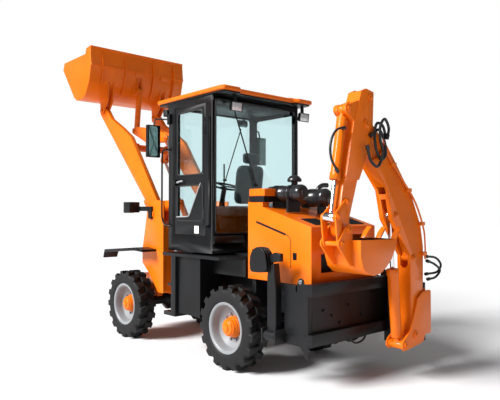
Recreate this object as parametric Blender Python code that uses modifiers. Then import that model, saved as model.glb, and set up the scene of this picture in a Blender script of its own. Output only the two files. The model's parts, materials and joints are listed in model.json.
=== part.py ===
"""Backhoe loader: an articulated machine with a raised front bucket and a side-shift rear digger.

Metres, +Z up, the machine's nose towards -Y and its left side towards +X. Inside this script
Y is measured from the articulation pin; the root empty then shifts the whole machine so that
the middle of its bounding box stands over the world origin.
"""
import math

import bmesh
import bpy
from mathutils import Matrix, Vector

# ---------------------------------------------------------------- driving dimensions
GAP = 0.0003            # between faces that seat on each other
PIN_GAP = 0.0005        # between an eye and the cheeks that hold it
CENTRE_Y = 0.100        # places the middle of the bounding box over the origin

AXLE_Y = 1.05           # each axle from the articulation pin
TYRE_RADIUS = 0.440
TYRE_SIDES = 24
TYRE_IN = 0.515         # inner and outer side walls
TYRE_OUT = 0.757
BEAD_RADIUS = 0.250
RIM_LIP = 0.270
HUB_Z = TYRE_RADIUS * math.cos(math.pi / TYRE_SIDES)

CAB_X = 0.68            # half width
CAB_FRONT = -0.10
CAB_REAR = 0.75
CAB_FLOOR = 1.19
CAB_TOP = 2.945
POST = 0.055            # corner posts and rails of the cab
ROOF_TOP = 3.030
GLASS = 0.008

ARM_X = 0.45            # loader arms
ARM_HALF = 0.030
ARM_PIN = (-0.70, 1.62)         # arm to tower, as (Y, Z)
BUCKET_PIN = (-2.18, 3.17)
LIFT_EYE = (-1.66, 2.43)
LIFT_FOOT = (-0.74, 1.06)
CRANK_PIN = (-1.575, 2.72)
CRANK_FRONT = (-2.01, 2.89)
CRANK_REAR = (-1.15, 2.70)
TILT_LUG = (-1.94, 3.50)        # link to bucket
TILT_FOOT = (-0.80, 0.98)
LIFT_X = 0.28           # plane of each lift cylinder
TOWER_HALF = 0.065      # inside a tower, either side of the arm

DIG_Y = 2.48            # plane of the digging arm
SWING_X = -0.66
BOOM_PIN = (-0.42, 0.45)        # in the digging arm, points are (X, Z)
DIPPER_PIN = (0.33, 2.44)
DIG_PIN = (0.62, 1.49)
CROWD_PIN = (0.275, 2.685)
CROWD_FOOT = (-0.42, 1.20)
BOOM_CYL_FOOT = (-0.24, 0.37)
BOOM_CYL_EYE = (-0.12, 1.62)
DIG_CYL_FOOT = (0.575, 2.55)
ROCKER_PIN = (0.600, 1.73)
ROCKER_END = (0.7416, 1.603)
LINK_PIN = (0.716, 1.375)
BOOM_HALF = 0.075
DIPPER_HALF = 0.055
PIN_R = 0.020

STAB_X = 0.735          # stabilizer hinge
STAB_Y = 1.75
STAB_Z = 0.47


# ---------------------------------------------------------------- scene and materials
for old in list(bpy.data.objects):
    bpy.data.objects.remove(old, do_unlink=True)


def collection(name):
    """A new collection under the scene."""
    made = bpy.data.collections.new(name)
    bpy.context.scene.collection.children.link(made)
    return made


PARTS = collection("backhoe_loader")
CUTTERS = collection("cutters")


def material(name, colour, roughness, metallic=0.0):
    """A Principled material."""
    made = bpy.data.materials.new(name)
    made.use_nodes = True
    shader = made.node_tree.nodes["Principled BSDF"]
    shader.inputs["Base Color"].default_value = (*colour, 1.0)
    shader.inputs["Roughness"].default_value = roughness
    shader.inputs["Metallic"].default_value = metallic
    return made


ORANGE = material("orange_paint", (0.85, 0.27, 0.02), 0.35)
BLACK = material("black_paint", (0.02, 0.02, 0.022), 0.45)
RIM_GREY = material("rim_grey", (0.55, 0.56, 0.57), 0.4)
RUBBER = material("tyre_rubber", (0.015, 0.015, 0.015), 0.85)
CHROME = material("chrome_rod", (0.8, 0.8, 0.82), 0.12, 1.0)
TINTED = material("tinted_glass", (0.12, 0.25, 0.27), 0.05)
CLOTH = material("seat_cloth", (0.05, 0.06, 0.065), 0.9)
HOSE = material("hose_rubber", (0.01, 0.01, 0.01), 0.6)


# ---------------------------------------------------------------- shape helpers
def adopt(mesh):
    """An object for a mesh, in the parts' collection."""
    made = bpy.data.objects.new("solid", mesh)
    PARTS.objects.link(made)
    return made


def baked(source):
    """A curve or modified object turned into a plain welded mesh object."""
    bpy.context.view_layer.update()
    graph = bpy.context.evaluated_depsgraph_get()
    mesh = bpy.data.meshes.new_from_object(source.evaluated_get(graph))
    mesh.transform(source.matrix_world)
    bpy.data.objects.remove(source, do_unlink=True)
    bm = bmesh.new()
    bm.from_mesh(mesh)
    bmesh.ops.remove_doubles(bm, verts=bm.verts, dist=0.00005)
    bm.to_mesh(mesh)
    bm.free()
    return adopt(mesh)


def box(lo, hi):
    """A box between two corners."""
    mesh = bpy.data.meshes.new("box")
    bm = bmesh.new()
    bmesh.ops.create_cube(bm, size=1.0)
    size = Vector(hi) - Vector(lo)
    middle = (Vector(hi) + Vector(lo)) / 2
    bm.transform(Matrix.Translation(middle) @ Matrix.Diagonal((*size, 1.0)))
    bm.to_mesh(mesh)
    bm.free()
    return adopt(mesh)


FRAMES = {
    "X": Matrix(((0, 0, 1, 0), (1, 0, 0, 0), (0, 1, 0, 0), (0, 0, 0, 1))),
    "Y": Matrix(((1, 0, 0, 0), (0, 0, -1, 0), (0, 1, 0, 0), (0, 0, 0, 1))),
    "Z": Matrix.Identity(4),
}


def prism(axis, outline, lo, hi):
    """A flat outline drawn across one axis, thick from lo to hi along it."""
    curve = bpy.data.curves.new("outline", "CURVE")
    curve.dimensions = "2D"
    curve.fill_mode = "BOTH"
    curve.extrude = (hi - lo) / 2
    spline = curve.splines.new("POLY")
    spline.points.add(len(outline) - 1)
    for point, (u, v) in zip(spline.points, outline):
        point.co = (u, v, 0, 1)
    spline.use_cyclic_u = True
    made = bpy.data.objects.new("outline", curve)
    PARTS.objects.link(made)
    along = {"X": (1, 0, 0), "Y": (0, 1, 0), "Z": (0, 0, 1)}[axis]
    made.matrix_world = Matrix.Translation(Vector(along) * (lo + hi) / 2) @ FRAMES[axis]
    return baked(made)


def bar(start, end, radius, sides=12):
    """A round bar between two points."""
    start, end = Vector(start), Vector(end)
    mesh = bpy.data.meshes.new("bar")
    bm = bmesh.new()
    run = end - start
    turn = run.to_track_quat("Z", "Y").to_matrix().to_4x4()
    bmesh.ops.create_cone(bm, cap_ends=True, segments=sides, radius1=radius, radius2=radius,
                          depth=run.length, matrix=Matrix.Translation((start + end) / 2) @ turn)
    bm.to_mesh(mesh)
    bm.free()
    return adopt(mesh)


def tube(points, radius, resolution=1, closed=False):
    """A bent tube along straight runs."""
    curve = bpy.data.curves.new("tube", "CURVE")
    curve.dimensions = "3D"
    curve.bevel_depth = radius
    curve.bevel_resolution = resolution
    curve.use_fill_caps = not closed
    spline = curve.splines.new("POLY")
    spline.points.add(len(points) - 1)
    for point, place in zip(spline.points, points):
        point.co = (*place, 1)
    spline.use_cyclic_u = closed
    made = bpy.data.objects.new("tube", curve)
    PARTS.objects.link(made)
    return baked(made)


def turned(profile, centre, steps=TYRE_SIDES, closed=True):
    """A profile of (radius, distance) pairs turned about a line along X through centre."""
    mesh = bpy.data.meshes.new("turned")
    count = len(profile)
    edges = [(i, (i + 1) % count) for i in range(count if closed else count - 1)]
    mesh.from_pydata([(radius, 0, along) for radius, along in profile], edges, [])
    made = adopt(mesh)
    screw = made.modifiers.new("turn", "SCREW")
    screw.steps = steps
    screw.render_steps = steps
    screw.use_merge_vertices = True
    screw.merge_threshold = 0.0001
    screw.use_normal_calculate = True
    half_step = Matrix.Rotation(math.pi / steps, 4, "Z")
    made.matrix_world = Matrix.Translation(centre) @ FRAMES["X"] @ half_step
    solid = baked(made)
    bm = bmesh.new()
    bm.from_mesh(solid.data)
    bmesh.ops.recalc_face_normals(bm, faces=bm.faces)
    bm.to_mesh(solid.data)
    bm.free()
    return solid


def arc(centre, radius, start, end, count=6):
    """Points along an arc, angles in degrees."""
    steps = [math.radians(start + (end - start) * i / (count - 1)) for i in range(count)]
    return [(centre[0] + radius * math.cos(a), centre[1] + radius * math.sin(a)) for a in steps]


def link(a, radius_a, b, radius_b, count=7):
    """The outline of a plate with round ends about two pins."""
    heading = math.degrees(math.atan2(b[1] - a[1], b[0] - a[0]))
    return (arc(b, radius_b, heading - 90, heading + 90, count)
            + arc(a, radius_a, heading + 90, heading + 270, count))


# ---------------------------------------------------------------- bodies and joints
PIVOTS = {}


def pivot(name, place, parent=None):
    """An empty on a joint's axis, which carries the body that turns there."""
    made = bpy.data.objects.new("joint_" + name, None)
    PARTS.objects.link(made)
    made.empty_display_size = 0.1
    made.location = Vector(place)
    if parent:
        made.parent = PIVOTS[parent][0]
        made.location -= PIVOTS[parent][1]
    PIVOTS[name] = (made, Vector(place))


def piece(name, finish, body, solids, cuts=(), fitted=()):
    """One named piece: solids joined, cuts taken out, then what is fitted inside, on its joint."""
    made = solids[0]
    made.name = name
    made.data.name = name
    carrier, place = PIVOTS[body]
    for step, operation, tools in (("join", "UNION", solids[1:]), ("cut", "DIFFERENCE", cuts),
                                   ("fit", "UNION", fitted)):
        for number, tool in enumerate(tools):
            joined = made.modifiers.new(f"{step}_{number}", "BOOLEAN")
            joined.operation = operation
            joined.solver = "EXACT"
            joined.object = tool
            tool.name = f"{name}_{step}_{number}"
            tool.hide_render = True
            tool.display_type = "WIRE"
            PARTS.objects.unlink(tool)
            CUTTERS.objects.link(tool)
            tool.parent = made
            tool.matrix_parent_inverse = Matrix.Translation(-place)
    made.data.transform(Matrix.Translation(-place))
    made.data.materials.clear()
    made.data.materials.append(finish)
    made.parent = carrier
    return made


def x_point(pair, x=0.0):
    """A (Y, Z) pair at a distance across the machine."""
    return (x, pair[0], pair[1])


def dig_point(pair, offset=0.0):
    """An (X, Z) pair in the digging arm, offset from its middle plane."""
    return (pair[0], DIG_Y + offset, pair[1])


def cross_bar(pair, half, radius, x=0.0, sides=12):
    """A bar along X through a (Y, Z) point."""
    return bar(x_point(pair, x - half), x_point(pair, x + half), radius, sides)


def dig_bar(pair, half, radius, sides=12):
    """A bar along Y through an (X, Z) point of the digging arm."""
    return bar(dig_point(pair, -half), dig_point(pair, half), radius, sides)


pivot("machine", (0, 0, 0))
pivot("front_frame", (0, 0, 0.6), "machine")
for side, sign in (("left", 1), ("right", -1)):
    pivot(f"rear_wheel_{side}", (sign * 0.6, AXLE_Y, HUB_Z), "machine")
    pivot(f"front_wheel_{side}", (sign * 0.6, -AXLE_Y, HUB_Z), "front_frame")
    pivot(f"stabilizer_{side}", (sign * STAB_X, STAB_Y, STAB_Z), "machine")
    pivot(f"lift_{side}_barrel", x_point(LIFT_FOOT, sign * LIFT_X), "front_frame")
    pivot(f"lift_{side}_rod", x_point(LIFT_EYE, sign * LIFT_X), f"lift_{side}_barrel")
pivot("cab_door", (CAB_X + 0.02, 0.648, 1.4), "machine")
pivot("loader_arm", x_point(ARM_PIN), "front_frame")
pivot("loader_bucket", x_point(BUCKET_PIN), "loader_arm")
pivot("bellcrank", x_point(CRANK_PIN), "loader_arm")
pivot("tilt_link", x_point(CRANK_FRONT), "bellcrank")
pivot("tilt_barrel", x_point(TILT_FOOT), "front_frame")
pivot("tilt_rod", x_point(CRANK_REAR), "tilt_barrel")
pivot("carriage", (SWING_X, 2.2, 0.6), "machine")
pivot("swing_post", (SWING_X, DIG_Y, 0.6), "carriage")
pivot("boom", dig_point(BOOM_PIN), "swing_post")
pivot("dipper", dig_point(DIPPER_PIN), "boom")
pivot("digging_bucket", dig_point(DIG_PIN), "dipper")
pivot("rocker", dig_point(ROCKER_PIN), "dipper")
pivot("push_link", dig_point(LINK_PIN), "digging_bucket")
pivot("boom_barrel", dig_point(BOOM_CYL_FOOT), "swing_post")
pivot("boom_rod", dig_point(BOOM_CYL_EYE), "boom_barrel")
pivot("crowd_barrel", dig_point(CROWD_FOOT), "boom")
pivot("crowd_rod", dig_point(CROWD_PIN), "crowd_barrel")
pivot("dig_barrel", dig_point(DIG_CYL_FOOT), "dipper")
pivot("dig_rod", dig_point(ROCKER_END), "dig_barrel")


# ---------------------------------------------------------------- cylinders
def ram(name, foot, eye, across, foot_half, eye_half, barrel_radius, rod_radius, mouth_at):
    """A barrel with its foot eye and a rod with its end eye, between two pins.

    The barrel is bored a little wider than the rod, and both eyes lie across the ram.
    """
    foot, eye, across = Vector(foot), Vector(eye), Vector(across)
    run = (eye - foot).normalized()
    eye_radius = 0.042
    neck = 0.07
    mouth = foot + run * mouth_at
    piece(f"{name}_barrel", ORANGE, f"{name}_barrel",
          [bar(foot + run * neck, mouth, barrel_radius, 16),
           bar(foot, foot + run * (neck + 0.02), min(0.034, foot_half - 0.002), 12),
           bar(foot - across * foot_half, foot + across * foot_half, eye_radius, 12),
           bar(mouth - run * 0.05, mouth + run * 0.012, barrel_radius * 1.12, 16)],
          [bar(foot + run * (neck + 0.03), mouth + run * 0.03, rod_radius + PIN_GAP, 16)])
    piece(f"{name}_rod", CHROME, f"{name}_rod",
          [bar(mouth - run * 0.09, eye, rod_radius, 16),
           bar(eye - across * eye_half, eye + across * eye_half, eye_radius, 12)])


# ---------------------------------------------------------------- wheels
def wheel(name, body, sign, y):
    """A tyre and its dished rim with the planetary hub cap."""
    centre = (0, y, HUB_Z)
    tyre = [(BEAD_RADIUS + GAP, 0.520), (BEAD_RADIUS + GAP, 0.730), (RIM_LIP + 0.004, 0.732),
            (0.300, 0.754), (0.370, TYRE_OUT), (0.415, 0.745), (TYRE_RADIUS, 0.715),
            (TYRE_RADIUS, 0.550), (0.415, 0.525), (0.370, TYRE_IN), (0.300, 0.517),
            (RIM_LIP + 0.004, 0.519)]
    piece(f"tyre_{name}", RUBBER, body,
          [turned([(radius, sign * along) for radius, along in tyre], centre)])
    rim = [(0.0, 0.740), (0.075, 0.735), (0.080, 0.675), (0.110, 0.660), (0.110, 0.600),
           (0.150, 0.615), (0.222, 0.640), (0.235, 0.745), (RIM_LIP, 0.745), (RIM_LIP, 0.7323),
           (BEAD_RADIUS, 0.7303), (BEAD_RADIUS, 0.5197), (0.225, 0.5197), (0.215, 0.600),
           (0.120, 0.575), (0.0, 0.575)]
    piece(f"rim_{name}", RIM_GREY, body,
          [turned([(radius, sign * along) for radius, along in rim], centre, closed=False)])


for end, y in (("front", -AXLE_Y), ("rear", AXLE_Y)):
    for side, sign in (("left", 1), ("right", -1)):
        wheel(f"{end}_{side}", f"{end}_wheel_{side}", sign, y)


def axle(name, body, y):
    """A rigid axle with its differential and its hub faces."""
    half = 0.575 - PIN_GAP
    profile = [(0.0, -half), (0.105, -half), (0.105, -0.545), (0.060, -0.530), (0.060, -0.150),
               (0.140, -0.080), (0.140, 0.080), (0.060, 0.150), (0.060, 0.530),
               (0.105, 0.545), (0.105, half), (0.0, half)]
    piece(name, BLACK, body, [turned(profile, (0, y, HUB_Z), 16, closed=False)])


axle("rear_axle", "machine", AXLE_Y)
axle("front_axle", "front_frame", -AXLE_Y)

# ---------------------------------------------------------------- rear chassis
RAIL_TOP = 0.78
SADDLE_Z = HUB_Z + 0.060 * math.cos(math.pi / 16) + GAP
HOOD_X = 0.50
HOOD_FRONT = 1.14
HOOD_REAR = 2.04
HOOD_LOW = 0.945
HOOD_WALL = 0.025
piece("rear_chassis", BLACK, "machine",
      [box((-0.30, 0.22, 0.60), (0.30, 2.00, RAIL_TOP)),
       box((0.18, AXLE_Y - 0.05, SADDLE_Z), (0.26, AXLE_Y + 0.05, 0.62)),
       box((-0.26, AXLE_Y - 0.05, SADDLE_Z), (-0.18, AXLE_Y + 0.05, 0.62)),
       box((-0.14, -0.07, 0.70), (0.14, 0.30, 0.76)),
       box((-0.14, -0.07, 0.44), (0.14, 0.30, 0.50)),
       box((-0.14, 0.13, 0.46), (0.14, 0.30, 0.74)),
       box((-0.30, 1.62, 0.36), (0.30, 2.04, 0.70)),
       box((-0.28, 0.24, 0.70), (0.28, 1.10, 1.10)),
       box((-0.39, 0.00, 1.06), (0.39, 1.12, CAB_FLOOR - GAP)),
       box((-0.46, 1.16, 0.64), (0.46, 1.22, HOOD_LOW - GAP)),
       box((-0.46, 1.86, 0.64), (0.46, 1.94, HOOD_LOW - GAP))])
piece("engine_block", BLACK, "machine",
      [box((-0.28, 1.24, RAIL_TOP + GAP), (0.28, 1.84, 1.34))])

# ---------------------------------------------------------------- hood
hood_side = [(HOOD_FRONT, HOOD_LOW), (HOOD_REAR, HOOD_LOW), (HOOD_REAR, 1.505), (1.17, 1.755),
             (HOOD_FRONT, 1.755)]
hood_void = [(HOOD_FRONT + HOOD_WALL, 0.90), (HOOD_REAR - HOOD_WALL, 0.90),
             (HOOD_REAR - HOOD_WALL, 1.485), (1.17, 1.730), (HOOD_FRONT + HOOD_WALL, 1.730)]
piece("hood", ORANGE, "machine",
      [prism("X", hood_side, -HOOD_X, HOOD_X),
       box((0.40, HOOD_FRONT + 0.006, 1.70), (0.494, 1.36, 1.80))],
      [prism("X", hood_void, -HOOD_X + HOOD_WALL, HOOD_X - HOOD_WALL),
       box((-0.33, HOOD_REAR - 0.1, 1.30), (0.36, HOOD_REAR + 0.1, 1.42)),
       box((-0.33, HOOD_REAR - 0.1, 1.06), (0.36, HOOD_REAR + 0.1, 1.24))])

# ---------------------------------------------------------------- air cleaner and muffler
below_hood = [(1.0, 1.40), (2.2, 1.40), (2.2, 1.462), (HOOD_REAR, 1.505 + GAP), (1.17, 1.755 + GAP),
              (1.0, 1.755 + GAP)]
CLEANER = (0.26, 1.68)          # X, Z of its middle line
piece("air_cleaner", BLACK, "machine",
      [bar((CLEANER[0], 1.22, CLEANER[1] + 0.16), (CLEANER[0], 1.74, CLEANER[1] + 0.16), 0.090, 16),
       box((0.16, 1.48, 1.60), (0.36, 1.56, 1.80)),
       bar((0.06, 1.40, 1.78), (0.06, 1.40, 1.99), 0.030, 10),
       bar((0.06, 1.40, 1.94), (0.06, 1.40, 2.06), 0.075, 12),
       bar((0.06, 1.40, 1.80), (0.24, 1.40, 1.80), 0.030, 10)],
      [prism("X", below_hood, 0.0, 0.5)])
piece("muffler", BLACK, "machine",
      [bar((-0.14, 1.30, 1.80), (-0.14, 1.72, 1.80), 0.10, 16),
       box((-0.20, 1.50, 1.58), (-0.08, 1.56, 1.76))],
      [prism("X", below_hood, -0.3, 0.0)])

# ---------------------------------------------------------------- cab
DOOR_FRONT = 0.040
DOOR_REAR = 0.630
DOOR_LOW = 1.385
DOOR_TOP = 2.865
SIDE_LOW = 1.42
cab_inner = CAB_X - POST
floor_top = CAB_FLOOR + 0.05
SEAT_Z = 1.62
door_hinges = [
    box((CAB_X - 0.01, 0.667, 1.50), (CAB_X + 0.03, 0.72, 2.70)),
    bar((CAB_X + 0.02, 0.648, 1.505), (CAB_X + 0.02, 0.648, 1.55 - PIN_GAP), 0.016, 10),
    bar((CAB_X + 0.02, 0.648, 2.65 + PIN_GAP), (CAB_X + 0.02, 0.648, 2.695), 0.016, 10),
    box((CAB_X + 0.008, 0.65, 1.51), (CAB_X + 0.028, 0.68, 1.545)),
    box((CAB_X + 0.008, 0.65, 2.655), (CAB_X + 0.028, 0.68, 2.69))]
seat_base = [box((-0.20, 0.22, floor_top - 0.02), (0.20, 0.58, SEAT_Z - 0.02))]
steering = [
    box((-0.13, -0.03, floor_top - 0.02), (0.13, 0.10, 1.72)),
    bar((0, 0.05, 1.68), (0, 0.13, 1.97), 0.032, 10)]
# steering wheel: a closed ring of tube on three spokes, square to its column
WHEEL_HUB = (0, 0.130, 1.970)
WHEEL_RADIUS = 0.185
wheel_ring = [(WHEEL_RADIUS * math.cos(turn), WHEEL_HUB[1] + 0.964 * WHEEL_RADIUS * math.sin(turn),
               WHEEL_HUB[2] - 0.266 * WHEEL_RADIUS * math.sin(turn))
              for turn in [math.tau * step / 24 for step in range(24)]]
steering.append(tube(wheel_ring, 0.013, 2, closed=True))
steering += [bar(WHEEL_HUB, wheel_ring[step], 0.009, 8) for step in (2, 10, 18)]
rear_sill = [box((0.24, CAB_REAR - 0.01, 1.30), (0.67, CAB_REAR + 0.035, 1.385))]
piece("cab_frame", BLACK, "machine",
      [box((-CAB_X, CAB_FRONT, CAB_FLOOR), (CAB_X, CAB_REAR, CAB_TOP))]
      + door_hinges + rear_sill,
      [box((-cab_inner, CAB_FRONT + POST, CAB_FLOOR + 0.05),
           (cab_inner, CAB_REAR - POST, CAB_TOP - 0.045)),
       box((-cab_inner, CAB_FRONT - 0.1, 1.52), (cab_inner, CAB_FRONT + 0.1, CAB_TOP - POST)),
       box((-cab_inner, CAB_REAR - 0.1, 1.42), (cab_inner, CAB_REAR + 0.1, CAB_TOP - POST)),
       box((-CAB_X - 0.1, CAB_FRONT + POST + 0.03, SIDE_LOW), (-0.5, CAB_REAR - POST, DOOR_TOP)),
       box((0.5, DOOR_FRONT - 0.010, DOOR_LOW - 0.005),
           (CAB_X + 0.1, DOOR_REAR + 0.005, DOOR_TOP + 0.005))],
      seat_base + steering)
EDGE = 0.012            # each pane laps over the rails it is glued to
pane_x = cab_inner + EDGE
piece("windshield", TINTED, "machine",
      [box((-pane_x, CAB_FRONT - GLASS - GAP, 1.52 - EDGE),
           (pane_x, CAB_FRONT - GAP, CAB_TOP - POST + EDGE))])
piece("rear_window", TINTED, "machine",
      [box((-pane_x, CAB_REAR + GAP, 1.42 - EDGE),
           (pane_x, CAB_REAR + GAP + GLASS, CAB_TOP - POST + EDGE))])
piece("right_window", TINTED, "machine",
      [box((-CAB_X - GAP - GLASS, CAB_FRONT + POST + 0.03 - EDGE, SIDE_LOW - EDGE),
           (-CAB_X - GAP, CAB_REAR - POST + EDGE, DOOR_TOP + EDGE))])
piece("cab_roof", ORANGE, "machine",
      [box((-0.72, -0.355, CAB_TOP + GAP), (0.72, 0.985, ROOF_TOP))])
# door: a frame with a middle bar, its pane glued to the inner side
DOOR_IN = CAB_X - 0.035
door_mid = 2.03
piece("cab_door", BLACK, "cab_door",
      [box((DOOR_IN, DOOR_FRONT, DOOR_LOW), (CAB_X, DOOR_REAR, DOOR_TOP)),
       bar((CAB_X + 0.02, 0.648, 1.55), (CAB_X + 0.02, 0.648, 1.70), 0.016, 10),
       bar((CAB_X + 0.02, 0.648, 2.50), (CAB_X + 0.02, 0.648, 2.65), 0.016, 10),
       box((CAB_X - 0.02, 0.60, 1.58), (CAB_X + 0.022, 0.625, 1.67)),
       box((CAB_X + 0.004, 0.60, 1.58), (CAB_X + 0.022, 0.648, 1.67)),
       box((CAB_X - 0.02, 0.60, 2.53), (CAB_X + 0.022, 0.625, 2.62)),
       box((CAB_X + 0.004, 0.60, 2.53), (CAB_X + 0.022, 0.648, 2.62)),
       box((CAB_X - 0.01, 0.065, 1.955), (CAB_X + 0.045, 0.095, 2.03))],
      [box((CAB_X - 0.2, DOOR_FRONT + 0.05, door_mid + 0.045),
           (CAB_X + 0.2, DOOR_REAR - 0.05, DOOR_TOP - 0.06)),
       box((CAB_X - 0.2, DOOR_FRONT + 0.05, DOOR_LOW + 0.16),
           (CAB_X + 0.2, DOOR_REAR - 0.05, door_mid - 0.08))])
piece("door_glass", TINTED, "cab_door",
      [box((DOOR_IN - GAP - GLASS, DOOR_FRONT + 0.03, DOOR_LOW + 0.10),
           (DOOR_IN - GAP, DOOR_REAR - 0.03, DOOR_TOP - 0.03))])

# seat
piece("seat_cushion", CLOTH, "machine",
      [box((-0.23, 0.14, SEAT_Z - 0.02 + GAP), (0.23, 0.56, SEAT_Z + 0.10))])
piece("seat_back", CLOTH, "machine",
      [prism("X", [(0.50, SEAT_Z + 0.10 + GAP), (0.60, SEAT_Z + 0.10 + GAP), (0.68, 2.18),
                   (0.665, 2.36), (0.60, 2.36), (0.57, 2.16)], -0.22, 0.22)])

# mirrors reach out from the front corners of the roof
MIRROR_OUT = 0.955
for side, sign in (("left", 1), ("right", -1)):
    corner = sorted((sign * (MIRROR_OUT - 0.17), sign * MIRROR_OUT))
    stay = sorted((sign * (CAB_X + GAP), sign * (CAB_X + 0.03)))
    piece(f"mirror_{side}", BLACK, "machine",
          [box((corner[0], -0.175, 2.30), (corner[1], -0.125, 2.68)),
           tube([(sign * (CAB_X + 0.02), -0.07, 2.76), (sign * 0.84, -0.15, 2.76),
                 (sign * 0.87, -0.15, 2.66)], 0.011),
           box((stay[0], -0.095, 2.70), (stay[1], -0.045, 2.82))])

# ---------------------------------------------------------------- fenders, tank and steps
DECK_TOP = 1.167
STEP_OUT = 0.745
for side, sign in (("left", 1), ("right", -1)):
    deck = [(sign * 0.40, -0.19), (sign * (STEP_OUT - 0.05), -0.19), (sign * STEP_OUT, -0.13),
            (sign * STEP_OUT, 0.95), (sign * 0.40, 1.12)]
    def span(lo, hi, sign=sign):
        """An X range mirrored to this side."""
        return tuple(sorted((sign * lo, sign * hi)))
    tank, tread, hanger = span(0.395, 0.70), span(0.44, STEP_OUT), span(0.47, 0.49)
    inner = span(0.30 + GAP, 0.42)
    piece(f"fender_{side}", BLACK, "machine",
          [prism("Z", deck if sign > 0 else deck[::-1], DECK_TOP - 0.035, DECK_TOP),
           box((tank[0], 0.10, 0.47), (tank[1], 0.56, DECK_TOP - 0.02)),
           box((hanger[0], -0.08, 0.44), (hanger[1], 0.12, DECK_TOP - 0.02)),
           box((tread[0], -0.02, 0.78), (tread[1], 0.14, 0.81)),
           box((tread[0], -0.10, 0.43), (tread[1], 0.14, 0.475)),
           box((tread[0], 0.05, 0.44), (tread[1], 0.14, 1.14)),
           box((inner[0], 0.24, 0.62), (inner[1], 0.50, 0.76)),
           box((span(0.40, 0.50)[0], 0.50, 0.95), (span(0.40, 0.50)[1], 1.10, DECK_TOP - 0.02))])

# ---------------------------------------------------------------- front frame
PLATE = 0.020
tower_side = [(-0.56, 0.62), (-0.44, 0.62), (-0.44, 1.79), (-0.60, 1.80), (-0.80, 1.79),
              (-0.86, 1.50), (-0.94, 1.16), (-0.94, 0.98), (-0.74, 0.82)]
tilt_cheek = link(TILT_FOOT, 0.07, (TILT_FOOT[0], 0.78), 0.09)
lift_cheek = link(LIFT_FOOT, 0.065, (LIFT_FOOT[0], 0.76), 0.09)
front_solids = [box((-0.40, -1.46, 0.60), (0.40, -0.44, 0.78)),
                box((0.18, -AXLE_Y - 0.05, SADDLE_Z), (0.26, -AXLE_Y + 0.05, 0.62)),
                box((-0.26, -AXLE_Y - 0.05, SADDLE_Z), (-0.18, -AXLE_Y + 0.05, 0.62)),
                box((-0.12, -0.50, 0.51), (0.12, 0.02, 0.69)),
                bar((0, 0, 0.5005), (0, 0, 0.6995), 0.10, 16),
                prism("X", tilt_cheek, -0.075, -0.050),
                prism("X", tilt_cheek, 0.050, 0.075),
                box((-0.30, -1.54, 0.34), (0.30, -1.30, 0.70)),
                cross_bar((-0.52, 1.50), 0.40, 0.05)]
for sign in (1, -1):
    for face in (1, -1):
        lo, hi = sorted((sign * LIFT_X + face * 0.046, sign * LIFT_X + face * 0.062))
        front_solids.append(prism("X", lift_cheek, lo, hi))
    for lo, hi in ((ARM_X - TOWER_HALF - PLATE, ARM_X - TOWER_HALF),
                   (ARM_X + TOWER_HALF, ARM_X + TOWER_HALF + PLATE)):
        plate = sorted((sign * lo, sign * hi))
        front_solids.append(prism("X", tower_side, plate[0], plate[1]))
    web = sorted((sign * (ARM_X - TOWER_HALF - 0.01), sign * (ARM_X + TOWER_HALF + 0.01)))
    front_solids.append(box((web[0], -0.49, 0.64), (web[1], -0.45, 1.50)))
    front_solids.append(box((web[0], -0.58, 0.63), (web[1], -0.46, 0.80)))
piece("front_chassis", ORANGE, "front_frame", front_solids)
TOWER_OUT = ARM_X + TOWER_HALF + PLATE
for side, sign in (("left", 1), ("right", -1)):
    wing = [(-1.64, 1.02), (-1.60, 1.13), (-0.80, 1.19), (-0.60, 1.17), (-0.60, 1.14), (-0.80, 1.15),
            (-1.58, 1.09), (-1.62, 1.01)]
    reach = sorted((sign * (TOWER_OUT + GAP), sign * STEP_OUT))
    piece(f"front_fender_{side}", BLACK, "front_frame", [prism("X", wing, reach[0], reach[1])])
    lamp = sorted((sign * (TOWER_OUT + 0.02), sign * 0.71))
    arm = sorted((sign * (TOWER_OUT + GAP), sign * (TOWER_OUT + 0.03)))
    piece(f"headlight_{side}", BLACK, "front_frame",
          [box((lamp[0], -1.14, 1.64), (lamp[1], -0.98, 1.78)),
           box((arm[0], -1.02, 1.66), (arm[1], -0.70, 1.72)),
           box((arm[0], -0.76, 1.56), (arm[1], -0.68, 1.72))])

# ---------------------------------------------------------------- loader arms and linkage
EYE_IN = 0.025          # half the gap between the cheeks that hold a ram's end eye
CHEEK = 0.017
CROSS = (-1.57, 2.575)    # cross tube between the arms
arm_side = [(-2.26, 3.13), (-1.50, 2.36), (-0.88, 1.72),
            *arc(ARM_PIN, 0.10, 200, 370, 7), (-0.66, 1.78), (-1.36, 2.70), (-1.62, 2.86),
            (-1.92, 3.02), (-2.05, 3.16), *arc(BUCKET_PIN, 0.065, 30, 150, 5)]
arm_solids = []
for sign in (1, -1):
    middle = sign * ARM_X
    arm_solids.append(prism("X", arm_side, middle - ARM_HALF, middle + ARM_HALF))
    arm_solids.append(cross_bar(ARM_PIN, TOWER_HALF - PIN_GAP, 0.07, middle))
    for face in (1, -1):
        near = sign * LIFT_X + face * EYE_IN
        lo, hi = sorted((near, near + face * CHEEK))
        arm_solids.append(prism("X", link(LIFT_EYE, 0.050, CROSS, 0.07), lo, hi))
arm_solids.append(cross_bar(CROSS, ARM_X, 0.05))
CRANK_HALF = 0.055
for face in (1, -1):
    lo, hi = sorted((face * CRANK_HALF, face * (CRANK_HALF + CHEEK)))
    arm_solids.append(prism("X", link(CRANK_PIN, 0.055, CROSS, 0.05), lo, hi))
piece("loader_arms", ORANGE, "loader_arm", arm_solids)

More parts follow.
